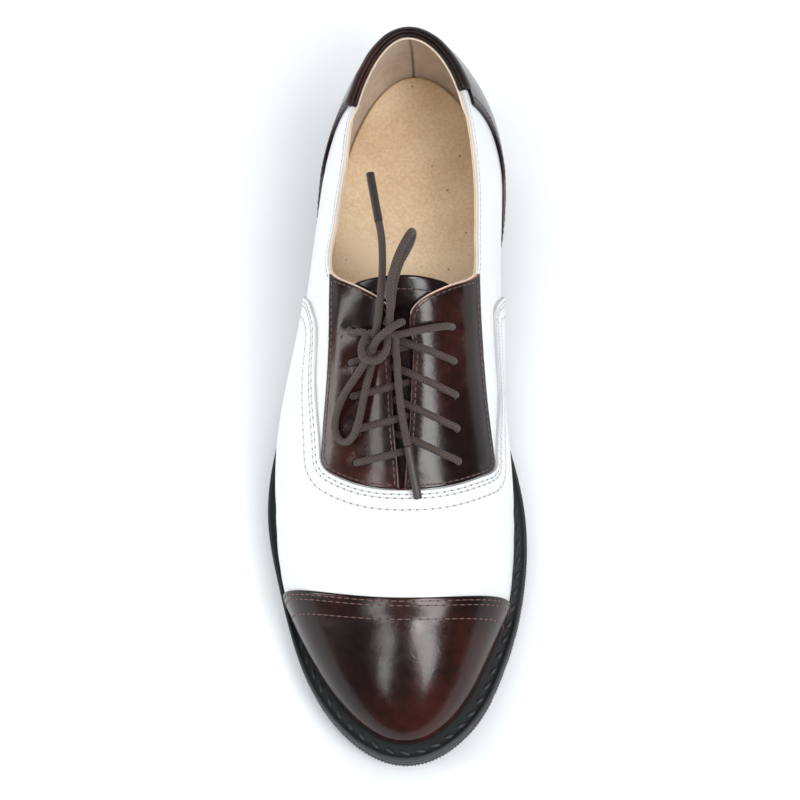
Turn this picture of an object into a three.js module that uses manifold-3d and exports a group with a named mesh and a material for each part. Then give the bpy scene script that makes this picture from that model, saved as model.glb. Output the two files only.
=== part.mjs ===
// A right leather lace-up shoe: a two-tone cap-toe oxford on a moulded rubber sole.
// Millimetres, +Z up, the toe towards -Y and the inner side of the foot towards +X.
// The last is one function of two numbers: how far round it, and how far up it. Every
// leather piece is cut from that function and lies between two distances from the last.
import * as THREE from 'three';
import { mergeVertices } from 'three/addons/utils/BufferGeometryUtils.js';
import Module from 'manifold-3d';

const wasm = await Module();
wasm.setup();

// Driving dimensions
const SOLE_LENGTH = 275;
const SOLE_BALL = 97.5;       // outsole across the ball of the foot
const UPPER_LENGTH = 265;
const UPPER_BALL = 88.3;      // upper across the ball
const TOE_MARGIN = 7.2;       // how far the sole stands out ahead of the toe
const TOE_SPRING = 9;         // lift of the sole under the toe tip
const HEEL_BLOCK = 17;        // height of the heel under the outsole
const OUTSOLE = 7;            // outsole with its lugs
const WELT = 3.4;
const LAST_HEIGHT = 88;       // instep over the floor, at the top of the lacing
const BACK_SHARE = 0.9773;    // collar's height at the back, as a share of the instep's
const WALL = 1.9;             // quarter leather with its lining
const VAMP_LEATHER = 1.2;     // vamp's raised step over the wall
const CAP_LEATHER = 1.25;
const FACING_LEATHER = 0.7;
const COUNTER_LEATHER = 1.0;
const TONGUE = 1.8;
const INSOLE = 2.4;
const CLEAR = 0.3;            // gap between pieces that touch

// Padded strip over the back of the collar
const BINDING = 1.1;          // its padding, outside the wall
const BINDING_LINING = 0.7;   // and inside it
const BINDING_RISE = 1.6;     // over the wall's edge
const BINDING_DROP = 5.2;     // down the outside from the edge

// Sole unit
const WELT_SEAT = 13;         // width of the welt, most of it under the upper
const WELT_RIM = 1.3;         // raised lip along the welt's outer edge
const WELT_RIM_RISE = 0.8;
const WELT_RIM_SLOPE = 0.4;   // width of the slope from the lip down to the welt
const WELT_BEVEL = 0.3;
const SIDE_GROOVE = 0.9;      // depth of the groove round the outsole's side
const SIDE_GROOVE_FROM = 0.44; // its height over the ground, as shares of the outsole
const SIDE_GROOVE_TO = 0.64;
const SIDE_GROOVE_LIP = 0.5;
const SOLE_BEVEL = 1.1;
const LIFT = 6.2;             // heel's bottom layer, under a groove of its own
const HEEL_TAPER = 1.6;       // how far the heel draws in towards the floor
const TAPER_UNDER = 0.7;      // share of that taper just under the groove,
const TAPER_OVER = 0.6;       // and just over it
const HEEL_GROOVE = 0.7;      // depth of the heel's groove
const HEEL_GROOVE_RISE = 0.9;
const HEEL_GROOVE_LIP = 0.4;
const LUG = 2.2;              // depth of the tread
const TREAD_GROOVE = 3;
const TREAD_PITCH = 11.5;
const HEEL_TREADS = 3;        // grooves across the heel's underside
const HEEL_TREAD_PITCH = 1.5 * TREAD_PITCH;

// Lacing
const EYELETS = 5;            // on each side
const EYELET_HOLE = 3.5;
const EYELET_OUT = 18.3;      // from the lacing's centre to the holes
const EYELET_FIRST = 8.5;     // top row, along the shoe from its middle
const EYELET_PITCH = 11.1;
const EYELET_SHIFT = 0.7;     // lacing's centre at the middle row, from the throat's
const EYELET_DRIFT = 0.55;    // how far it moves to the inner side from row to row
const EYELET_STAGGER = 1.2;   // how much nearer the toe the outer holes lie
const LACE = 2.7;             // diameter of the round cord
const LACE_SIDES = 8;
const BAR_RISE = 4.5;         // how far a bar's middle lies towards the ankle
const AGLET = 3.1;            // diameter of a lace's end sleeve
const AGLET_LENGTH = 19;

// Where things lie along the sole, as shares of its length from the toe
const FLAT_FROM = 0.23;
const FLAT_TO = 0.42;
const SEAT_FROM = 0.74;
const HEEL_BREAST = 0.705;
const LIP_FADES_FROM = 0.38;
const LIP_FADES_TO = 0.52;
const TREAD_FROM = 0.1;
const TREAD_TO = 0.46;

// Ends of the last's ridge, as shares of the upper's length
const RIDGE_TOE = 0.15;
const RIDGE_HEEL = 0.865;
const RIDGE_SOFTNESS = 0.09;

// Half widths of the outsole, as shares of its ball width
const SOLE_OUTLINE = [
  { at: 0.03, outer: 0.196, inner: 0.193 },
  { at: 0.07, outer: 0.299, inner: 0.285 },
  { at: 0.12, outer: 0.382, inner: 0.350 },
  { at: 0.18, outer: 0.445, inner: 0.405 },
  { at: 0.25, outer: 0.497, inner: 0.442 },
  { at: 0.33, outer: 0.541, inner: 0.450 },
  { at: 0.42, outer: 0.533, inner: 0.405 },
  { at: 0.50, outer: 0.483, inner: 0.345 },
  { at: 0.58, outer: 0.418, inner: 0.314 },
  { at: 0.66, outer: 0.368, inner: 0.309 },
  { at: 0.74, outer: 0.342, inner: 0.322 },
  { at: 0.82, outer: 0.328, inner: 0.336 },
  { at: 0.90, outer: 0.287, inner: 0.309 },
  { at: 0.96, outer: 0.198, inner: 0.219 },
];

// Half widths of the upper where it is widest, as shares of its ball width
const UPPER_OUTLINE = [
  { at: 0.03, outer: 0.187, inner: 0.175 },
  { at: 0.07, outer: 0.292, inner: 0.260 },
  { at: 0.12, outer: 0.384, inner: 0.328 },
  { at: 0.18, outer: 0.468, inner: 0.396 },
  { at: 0.25, outer: 0.524, inner: 0.428 },
  { at: 0.33, outer: 0.546, inner: 0.432 },
  { at: 0.42, outer: 0.546, inner: 0.414 },
  { at: 0.50, outer: 0.507, inner: 0.394 },
  { at: 0.58, outer: 0.453, inner: 0.394 },
  { at: 0.66, outer: 0.419, inner: 0.389 },
  { at: 0.74, outer: 0.392, inner: 0.392 },
  { at: 0.82, outer: 0.360, inner: 0.386 },
  { at: 0.90, outer: 0.292, inner: 0.330 },
  { at: 0.96, outer: 0.192, inner: 0.223 },
];

// The last along the shoe: its ridge, as shares of the instep's height; how far above
// the lower edge it is widest and how far in that edge lies, as shares of the ball
// width; and the two powers that round each section.
const LAST = [
  { at: 0.00, ridge: 0.420, belly: 0.045, tuckOuter: 0.012, tuckInner: 0.012, plan: 2.5, rise: 2.1 },
  { at: 0.08, ridge: 0.473, belly: 0.048, tuckOuter: 0.012, tuckInner: 0.012, plan: 2.4, rise: 2.1 },
  { at: 0.15, ridge: 0.524, belly: 0.060, tuckOuter: 0.014, tuckInner: 0.014, plan: 2.3, rise: 2.1 },
  { at: 0.22, ridge: 0.578, belly: 0.075, tuckOuter: 0.016, tuckInner: 0.016, plan: 2.2, rise: 2.0 },
  { at: 0.32, ridge: 0.678, belly: 0.100, tuckOuter: 0.018, tuckInner: 0.020, plan: 2.1, rise: 2.0 },
  { at: 0.42, ridge: 0.808, belly: 0.130, tuckOuter: 0.024, tuckInner: 0.034, plan: 2.1, rise: 2.0 },
  { at: 0.54, ridge: 1.000, belly: 0.160, tuckOuter: 0.034, tuckInner: 0.060, plan: 2.1, rise: 2.0 },
  { at: 0.61, ridge: 1.098, belly: 0.175, tuckOuter: 0.040, tuckInner: 0.066, plan: 2.1, rise: 1.9 },
  { at: 0.70, ridge: 1.136, belly: 0.190, tuckOuter: 0.040, tuckInner: 0.056, plan: 2.0, rise: 1.5 },
  { at: 0.80, ridge: 1.160, belly: 0.195, tuckOuter: 0.036, tuckInner: 0.042, plan: 2.0, rise: 1.3 },
  { at: 0.90, ridge: 1.220, belly: 0.200, tuckOuter: 0.034, tuckInner: 0.036, plan: 2.0, rise: 1.3 },
  { at: 1.00, ridge: 1.290, belly: 0.205, tuckOuter: 0.034, tuckInner: 0.034, plan: 2.0, rise: 1.3 },
];

// The collar's edge from the front corners to the back, as shares of the back's height
const COLLAR_CORNER = 0.605;
const COLLAR = [
  { at: COLLAR_CORNER, height: 0.925 },
  { at: 0.65, height: 0.883 },
  { at: 0.69, height: 0.866 },
  { at: 0.73, height: 0.862 },
  { at: 0.78, height: 0.882 },
  { at: 0.84, height: 0.930 },
  { at: 0.90, height: 0.975 },
  { at: 0.95, height: 0.998 },
  { at: 1.00, height: 1.000 },
];

// The throat: half of the gap between the facings, as shares of the ball width
const THROAT_END = 0.316;
const THROAT_CENTRE = -0.008; // of the ball width, towards the outer side
const THROAT = [
  { at: THROAT_END, gap: 0.010 },
  { at: 0.350, gap: 0.018 },
  { at: 0.400, gap: 0.033 },
  { at: 0.450, gap: 0.040 },
  { at: 0.500, gap: 0.043 },
  { at: 0.538, gap: 0.048 },
  { at: 0.550, gap: 0.085 },
  { at: 0.562, gap: 0.142 },
  { at: 0.575, gap: 0.205 },
  { at: 0.588, gap: 0.262 },
  { at: COLLAR_CORNER, gap: 0.305 },
];

// The facing panels: half widths as shares of the ball width
const PANEL_END = 0.620;
const PANEL = [
  { at: 0.350, outer: 0.344, inner: 0.374 },
  { at: 0.400, outer: 0.334, inner: 0.352 },
  { at: 0.450, outer: 0.320, inner: 0.332 },
  { at: 0.500, outer: 0.309, inner: 0.318 },
  { at: 0.550, outer: 0.305, inner: 0.308 },
  { at: PANEL_END, outer: 0.303, inner: 0.301 },
];
const PANEL_FRONT = 0.3155;   // its front edge at the middle, a share of the length
const PANEL_FRONT_CURVE = 0.130; // how far its ends lie back, a share of the ball width,
const PANEL_FRONT_REACH = 0.36; // and how far from the middle, another such share
const PANEL_FRONT_POWER = 2.4;
const PANEL_CORNER = 4;       // radius of the panel's front corners
const VAMP_MARGIN = 0.052;    // white strip beside the panel, a share of the ball width
const VAMP_MARGIN_FROM = 0.350;
const VAMP_MARGIN_TO = 0.490;

// Seams on the sides, as heights in shares of the instep's height
const WING = [
  { height: 0.20, at: 0.660 },
  { height: 0.34, at: 0.642 },
  { height: 0.48, at: 0.622 },
  { height: 0.64, at: 0.598 },
  { height: 0.75, at: 0.573 },
  { height: 0.80, at: 0.545 },
  { height: 0.85, at: 0.500 },
];
const COUNTER = [
  { height: 0.26, at: 0.672 },
  { height: 0.36, at: 0.706 },
  { height: 0.44, at: 0.752 },
  { height: 0.50, at: 0.792 },
  { height: 0.57, at: 0.826 },
  { height: 0.66, at: 0.849 },
  { height: 0.78, at: 0.858 },
  { height: 0.95, at: 0.856 },
];
const WING_CORNER = 6;        // radius where the wing seam meets the one round the panel
const BINDING_AT = { outer: 0.847, inner: 0.866 }; // binding's ends, shares of the length
const TONGUE_FROM = 0.27;
const TONGUE_TO = 0.578;
const TONGUE_CORNER = 8;
const TONGUE_SIDES = [
  { at: TONGUE_FROM, half: 0.20 },
  { at: 0.40, half: 0.24 },
  { at: 0.52, half: 0.27 },
  { at: 0.60, half: 0.27 },
];
const CAP_AT = 0.174;         // cap's straight edge at the middle, a share of the length
const CAP_SWEEP = 0.102;      // how far its ends lie back, a share of the ball width,
const CAP_REACH = 0.48;       // and how far from the middle, another such share

// The bar of a lacing row: across from hole to hole, along towards the ankle, and its
// dip between the facings, in cord diameters
const BAR = [
  { across: -1.00, along: 0.0, dip: 0.0 },
  { across: -0.62, along: 0.5, dip: 0.0 },
  { across: -0.28, along: 0.9, dip: 0.0 },
  { across: 0.00, along: 1.0, dip: 0.2 },
  { across: 0.28, along: 0.9, dip: 0.0 },
  { across: 0.62, along: 0.5, dip: 0.0 },
  { across: 1.00, along: 0.0, dip: 0.0 },
];
const BAR_STEPS = 8;

// The bow, in millimetres from the middle of the shoe
const KNOT = { across: 13, along: 11.5, high: 6, tilt: 0.45, at: [-8.4, 0.8, 88.8] };
const CORDS = [
  {
    name: 'lace_end_upper',
    steps: 8,
    route: [
      [-11.0, 0.6, 88.8],
      [-9.6, 2.8, 90.2],
      [-8.9, 5.4, 91.8],
      [-8.3, 9.5, 93.4],
      [-7.7, 16.4, 95.4],
      [-7.3, 22.9, 96.6],
      [-7.3, 29.2, 97.2],
      [-7.8, 36.5, 97.4],
      [-8.9, 42.5, 97.2],
    ],
  },
  {
    name: 'lace_end_lower',
    steps: 8,
    route: [
      [-5.4, 1.6, 89.4],
      [-3.0, 1.2, 89.4],
      [-2.5, -1.6, 87.6],
      [-2.1, -6.4, 84.9],
      [-1.8, -11.7, 82.0],
      [-1.3, -17.0, 79.0],
      [-0.7, -22.3, 75.9],
      [0.3, -27.7, 72.9],
      [1.7, -34.3, 69.6],
    ],
  },
  {
    name: 'lace_loop_upper',
    steps: 15,
    route: [
      [-4.6, 3.2, 91.2],
      [-4.3, 7.2, 94.6],
      [-4.4, 12.6, 98.4],
      [-3.8, 18.1, 102.0],
      [-2.2, 23.5, 104.6],
      [0.3, 29.6, 105.6],
      [2.3, 33.9, 104.6],
      [3.4, 36.7, 101.0],
      [3.5, 36.5, 97.2],
      [2.0, 33.0, 95.4],
      [-0.5, 28.3, 94.6],
      [-2.4, 22.7, 94.0],
      [-3.6, 15.3, 93.4],
      [-4.4, 9.2, 92.0],
      [-6.2, 4.4, 90.0],
    ],
  },
  {
    name: 'lace_loop_lower',
    steps: 16,
    route: [
      [-10.4, -1.8, 87.8],
      [-12.4, -5.4, 86.6],
      [-14.1, -8.2, 84.6],
      [-16.3, -10.6, 81.6],
      [-19.1, -13.5, 78.2],
      [-21.7, -16.3, 74.2],
      [-23.8, -19.5, 69.6],
      [-25.0, -23.2, 66.4],
      [-24.9, -26.6, 64.6],
      [-23.8, -29.1, 64.2],
      [-22.0, -30.6, 64.8],
      [-19.5, -30.8, 67.4],
      [-17.8, -29.5, 70.2],
      [-16.4, -26.8, 72.9],
      [-15.2, -22.5, 75.1],
      [-14.1, -17.8, 77.5],
      [-12.9, -13.2, 79.8],
      [-11.5, -8.6, 82.4],
      [-9.8, -3.4, 85.8],
    ],
  },
];

// How finely the forms are cut into facets
const RIBS = 34;              // from toe to heel on each side of the last
const LOW_STEPS = 2;
const HIGH_STEPS = 6;
const LOW_SHARE = 0.2;        // share of the way up that lies under the widest line
const RIDGE_STEP = 2.5;       // points of the ridge closer than this are one
const NEAR = 0.5;             // a corner this close to a cut moves onto it,
const NEAR_SHARE = 0.22;      // and by no more than this share of its edges
const ON_LINE = 0.02;
const FEEL = 0.05;            // stretch over which a region's slope is felt
const SLIDES = 3;             // tries that bring a corner onto a line
const LINE_HALVINGS = 14;     // halvings that find a line's crossing of an edge,
const LAST_HALVINGS = 30;     // and a point of the last over one of the plan
const LAST_ROUNDS = 4;
const NORMAL_ROUND = 0.002;   // steps on the last that give its outward direction
const NORMAL_UP = 0.01;
const SOLE_STEPS = 32;        // from toe to heel on each side of the sole
const HEEL_STEPS = 12;
const KNOT_SIDES = 10;
const KNOT_RINGS = 6;

const backHeight = BACK_SHARE * LAST_HEIGHT;

const toeTip = -SOLE_LENGTH / 2;
const upperToe = toeTip + TOE_MARGIN;
const smooth = (t) => { const c = Math.min(1, Math.max(0, t)); return c * c * (3 - 2 * c); };

// A natural cubic curve through a table's rows
function curve(rows, from, to) {
  const x = rows.map((r) => r[from]);
  const y = rows.map((r) => r[to]);
  const n = x.length;
  const bend = new Array(n).fill(0);
  const work = new Array(n).fill(0);
  for (let i = 1; i < n - 1; i++) {
    const share = (x[i] - x[i - 1]) / (x[i + 1] - x[i - 1]);
    const p = share * bend[i - 1] + 2;
    const turn = (y[i + 1] - y[i]) / (x[i + 1] - x[i]) - (y[i] - y[i - 1]) / (x[i] - x[i - 1]);
    bend[i] = (share - 1) / p;
    work[i] = (6 * turn / (x[i + 1] - x[i - 1]) - share * work[i - 1]) / p;
  }
  for (let i = n - 2; i > 0; i--) bend[i] = bend[i] * bend[i + 1] + work[i];
  bend[0] = 0;
  bend[n - 1] = 0;
  return (at) => {
    if (at <= x[0]) return y[0] + (at - x[0]) * slope(0);
    if (at >= x[n - 1]) return y[n - 1] + (at - x[n - 1]) * slope(n - 2, true);
    let i = 0;
    while (x[i + 1] < at) i++;
    const h = x[i + 1] - x[i];
    const a = (x[i + 1] - at) / h;
    const b = 1 - a;
    return a * y[i] + b * y[i + 1] + ((a ** 3 - a) * bend[i] + (b ** 3 - b) * bend[i + 1]) * h * h / 6;
  };
  function slope(i, last = false) {
    const h = x[i + 1] - x[i];
    const chord = (y[i + 1] - y[i]) / h;
    return last ? chord + bend[i] * h / 6 : chord - bend[i + 1] * h / 6;
  }
}

// Half width of an outline with round ends: the table's widths over those of an ellipse
function roundEnded(rows, side) {
  const ellipse = (at) => 2 * Math.sqrt(Math.max(0, at * (1 - at)));
  const fullness = curve(rows.map((r) => ({ at: r.at, full: r[side] / ellipse(r.at) })), 'at', 'full');
  return (at) => ellipse(at) * fullness(at);
}

const soleHalf = { outer: roundEnded(SOLE_OUTLINE, 'outer'), inner: roundEnded(SOLE_OUTLINE, 'inner') };
const upperHalf = { outer: roundEnded(UPPER_OUTLINE, 'outer'), inner: roundEnded(UPPER_OUTLINE, 'inner') };
const last = Object.fromEntries(Object.keys(LAST[0]).filter((k) => k !== 'at')
  .map((k) => [k, curve(LAST, 'at', k)]));
const collarHeight = curve(COLLAR, 'at', 'height');
const throatGap = curve(THROAT, 'at', 'gap');
const panelHalf = { outer: curve(PANEL, 'at', 'outer'), inner: curve(PANEL, 'at', 'inner') };
const wingAt = curve(WING, 'height', 'at');
const tongueHalf = curve(TONGUE_SIDES, 'at', 'half');
const counterAt = curve(COUNTER, 'height', 'at');

const soleShare = (y) => (y - toeTip) / SOLE_LENGTH;
const upperShare = (y) => (y - upperToe) / UPPER_LENGTH;

// The underside of the outsole: toe spring, flat tread, then the arch up to the heel
function ground(y) {
  const at = soleShare(y);
  const spring = TOE_SPRING * Math.max(0, (FLAT_FROM - at) / FLAT_FROM) ** 2;
  return spring + HEEL_BLOCK * smooth((at - FLAT_TO) / (SEAT_FROM - FLAT_TO));
}
const soleTop = (y) => ground(y) + OUTSOLE;
const weltTop = (y) => soleTop(y) + CLEAR + WELT;
const lowerEdge = (y) => weltTop(y) + CLEAR;

// A point of the last. round runs from 0 at the toe, along the inner side, to 0.5 at
// the heel and on to 1 along the outer side; up runs from 0 at the lower edge to 1 on
// the ridge.
function lastPoint(round, up) {
  const inner = round <= 0.5;
  const side = inner ? 'inner' : 'outer';
  const along = inner ? 2 * round : 2 * (1 - round);
  const at = (1 - Math.cos(Math.PI * along)) / 2;
  const y = upperToe + at * UPPER_LENGTH;
  const half = upperHalf[side](at) * UPPER_BALL;
  const x = inner ? half : -half;
  const soft = (d) => (d + Math.hypot(d, RIDGE_SOFTNESS)) / 2;
  const ridgeAt = at + soft(RIDGE_TOE - at) - soft(at - RIDGE_HEEL);
  const ridgeY = upperToe + ridgeAt * UPPER_LENGTH;
  const low = lowerEdge(y);
  const widest = low + last.belly(at) * UPPER_BALL;
  if (up < LOW_SHARE) {
    const turn = (1 - up / LOW_SHARE) * Math.PI / 2;
    const tuck = (inner ? last.tuckInner(at) : last.tuckOuter(at)) * UPPER_BALL * (1 - Math.cos(turn));
    const reach = Math.max(1, Math.hypot(x, y - ridgeY));
    const keep = 1 - tuck / reach;
    return new THREE.Vector3(x * keep, ridgeY + (y - ridgeY) * keep, widest - (widest - low) * Math.sin(turn));
  }
  const turn = (up - LOW_SHARE) / (1 - LOW_SHARE) * Math.PI / 2;
  const out = Math.max(0, Math.cos(turn)) ** (2 / last.plan(at));
  const height = Math.sin(turn) ** (2 / last.rise(at));
  const here = ridgeY + (y - ridgeY) * out;
  const ridge = last.ridge(upperShare(here)) * LAST_HEIGHT;
  return new THREE.Vector3(x * out, here, widest + (ridge - widest) * height);
}

// The last's outward direction, from points a little to each side
function lastNormal(round, up) {
  const wrap = (r) => (r + 1) % 1;
  const v = Math.min(up, 1 - NORMAL_UP);
  const a = lastPoint(wrap(round + NORMAL_ROUND), v).sub(lastPoint(wrap(round - NORMAL_ROUND), v));
  const b = lastPoint(round, v + NORMAL_UP).sub(lastPoint(round, Math.max(0, v - NORMAL_UP)));
  return a.cross(b).normalize();
}

// The last over a point of the plan, and its outward direction there
function onLast(x, y, over = 0) {
  const side = x > 0 ? 'inner' : 'outer';
  let target = y;
  let round = 0;
  let up = 0.5;
  let p = null;
  for (let i = 0; i < LAST_ROUNDS; i++) {
    const at = Math.min(0.999, Math.max(0.001, upperShare(target)));
    const along = Math.acos(1 - 2 * at) / Math.PI;
    round = side === 'inner' ? along / 2 : 1 - along / 2;
    let low = LOW_SHARE;
    let high = 1;
    for (let j = 0; j < LAST_HALVINGS; j++) {
      up = (low + high) / 2;
      if (Math.abs(lastPoint(round, up).x) > Math.abs(x)) low = up;
      else high = up;
    }
    p = lastPoint(round, up);
    target += y - p.y;
  }
  const normal = lastNormal(round, up);
  return { point: p.addScaledVector(normal, over), normal };
}

// Regions of the last. Each is negative inside its piece, in millimetres.
const throatX = THROAT_CENTRE * UPPER_BALL;
function opening(p) {
  const at = upperShare(p.y);
  if (at > COLLAR_CORNER) return p.z - collarHeight(at) * backHeight;
  if (at < THROAT_END) return (at - THROAT_END) * UPPER_LENGTH;
  return throatGap(at) * UPPER_BALL - Math.abs(p.x - throatX);
}
function softMax(a, b, radius) {
  const h = Math.max(0, radius - Math.abs(a - b)) / radius;
  return Math.max(a, b) + h * h * radius / 4;
}
function panelWidth(p) {
  return panelHalf[p.x > 0 ? 'inner' : 'outer'](upperShare(p.y)) * UPPER_BALL;
}
function panelFront(p) {
  const across = Math.abs(p.x) / (PANEL_FRONT_REACH * UPPER_BALL);
  return upperToe + PANEL_FRONT * UPPER_LENGTH + PANEL_FRONT_CURVE * UPPER_BALL * across ** PANEL_FRONT_POWER;
}
function panel(p) {
  return softMax(Math.abs(p.x) - panelWidth(p), panelFront(p) - p.y, PANEL_CORNER);
}
function capLine(x) {
  const across = x / (CAP_REACH * UPPER_BALL);
  return upperToe + CAP_AT * UPPER_LENGTH + CAP_SWEEP * UPPER_BALL * across ** 2;
}
const cap = (p) => p.y - capLine(p.x);
function quarter(p) {
  const at = upperShare(p.y);
  const margin = VAMP_MARGIN * UPPER_BALL * smooth((at - VAMP_MARGIN_FROM) / (VAMP_MARGIN_TO - VAMP_MARGIN_FROM));
  const beside = Math.abs(p.x) - panelWidth(p) - margin - CLEAR;
  const throat = softMax(beside, panelFront(p) - CLEAR - p.y, PANEL_CORNER);
  const wing = upperToe + wingAt(p.z / LAST_HEIGHT) * UPPER_LENGTH - p.y;
  return -softMax(-throat, -wing, WING_CORNER);
}
const counter = (p) => upperToe + counterAt(p.z / LAST_HEIGHT) * UPPER_LENGTH - p.y;
const collarDrop = (p) => p.z - collarHeight(upperShare(p.y)) * backHeight;
const bindingFrom = (p) => (p.x > 0 ? BINDING_AT.inner : BINDING_AT.outer);

// The last as facets: corners with their outward directions, and faces
function lastSurface() {
  const points = [];
  const normals = [];
  const faces = [];
  const row = [];
  const rounds = [];
  for (let i = 0; i < 2 * RIBS; i++) rounds.push(i / (2 * RIBS));
  const ups = [];
  for (let j = 0; j < LOW_STEPS; j++) ups.push(LOW_SHARE * j / LOW_STEPS);
  for (let j = 0; j < HIGH_STEPS; j++) ups.push(LOW_SHARE + (1 - LOW_SHARE) * j / HIGH_STEPS);
  const add = (round, up) => {
    const n = lastNormal(round, up);
    if (up <= LOW_SHARE) n.setZ(Math.max(0, n.z) * up / LOW_SHARE).normalize();
    if (up === 1) n.setX(0).normalize();
    points.push(lastPoint(round, up));
    normals.push(n);
    return points.length - 1;
  };
  const ridge = [];
  for (let i = 0; i <= RIBS; i++) {
    const p = lastPoint(i / (2 * RIBS), 1);
    const before = i > 0 ? points[ridge[i - 1]] : null;
    ridge.push(before && p.distanceTo(before) < RIDGE_STEP ? ridge[i - 1] : add(i / (2 * RIBS), 1));
  }
  rounds.forEach((round, i) => {
    row.push([...ups.map((up) => add(round, up)), ridge[i <= RIBS ? i : 2 * RIBS - i]]);
  });
  rounds.forEach((_, i) => {
    const a = row[i];
    const b = row[(i + 1) % rounds.length];
    for (let j = 0; j < ups.length; j++) {
      addFaces(faces, points, [a[j], b[j], b[j + 1], a[j + 1]]);
    }
  });
  return { points, normals, faces };
}

// Faces of a three or four sided patch, split along its shorter diagonal
function addFaces(faces, points, corners, tag = 0) {
  const c = corners.filter((id, i) => id !== corners[(i + 1) % corners.length]);
  if (c.length === 3) faces.push({ corners: c, tag });
  if (c.length !== 4) return;
  const across = points[c[0]].distanceTo(points[c[2]]) <= points[c[1]].distanceTo(points[c[3]]);
  const order = across ? [[0, 1, 2], [0, 2, 3]] : [[1, 2, 3], [1, 3, 0]];
  for (const o of order) faces.push({ corners: o.map((i) => c[i]), tag });
}

// Edges with a face on one side only, and their corners
function rimEdges(faces) {
  const seen = new Set();
  const each = (use) => faces.forEach(({ corners: c }) => c.forEach((a, i) => use(a, c[(i + 1) % 3])));
  each((a, b) => seen.add(`${a} ${b}`));
  const edges = [];
  each((a, b) => seen.has(`${b} ${a}`) || edges.push([a, b]));
  return { edges, corners: new Set(edges.flat()) };
}
function shortestEdges({ points, faces }) {
  const shortest = new Map();
  for (const { corners: c } of faces) {
    c.forEach((a, i) => {
      const b = c[(i + 1) % 3];
      const d = points[a].distanceTo(points[b]);
      for (const id of [a, b]) shortest.set(id, Math.min(d, shortest.get(id) ?? Infinity));
    });
  }
  return shortest;
}

// Moves a point over the surface, straight to where a region's value is nought
function slide(p, normal, region) {
  const one = new THREE.Vector3(0, 0, 1).cross(normal).normalize();
  if (one.lengthSq() === 0) one.set(1, 0, 0);
  const two = normal.clone().cross(one);
  const q = p.clone();
  for (let i = 0; i < SLIDES; i++) {
    const here = region(q);
    const grade = [one, two].map((d) => (region(q.clone().addScaledVector(d, FEEL)) - here) / FEEL);
    const size = grade[0] ** 2 + grade[1] ** 2;
    [one, two].forEach((d, k) => q.addScaledVector(d, -here * grade[k] / size));
  }
  return q;
}

// Halves each edge that a region's line crosses twice
function halved(surface, region) {
  const points = surface.points.map((p) => p.clone());
  const normals = surface.normals.map((n) => n.clone());
  const value = points.map(region);
  const middle = new Map();
  for (const { corners: c } of surface.faces) {
    c.forEach((a, i) => {
      const b = c[(i + 1) % 3];
      const key = a < b ? `${a} ${b}` : `${b} ${a}`;
      if (middle.has(key) || value[a] * value[b] <= 0) return;
      const p = points[a].clone().lerp(points[b], 0.5);
      if (region(p) * value[a] >= 0) return;
      points.push(p);
      normals.push(normals[a].clone().lerp(normals[b], 0.5).normalize());
      middle.set(key, [a, b, points.length - 1]);
    });
  }
  let faces = surface.faces;
  for (const [a, b, m] of middle.values()) {
    faces = faces.flatMap((face) => {
      const c = face.corners;
      const i = c.findIndex((id, k) => [a, b].includes(id) && [a, b].includes(c[(k + 1) % 3]));
      if (i < 0) return [face];
      const [p, q, r] = [c[i], c[(i + 1) % 3], c[(i + 2) % 3]];
      return [{ ...face, corners: [p, m, r] }, { ...face, corners: [m, q, r] }];
    });
  }
  return { points, normals, faces };
}

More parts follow.
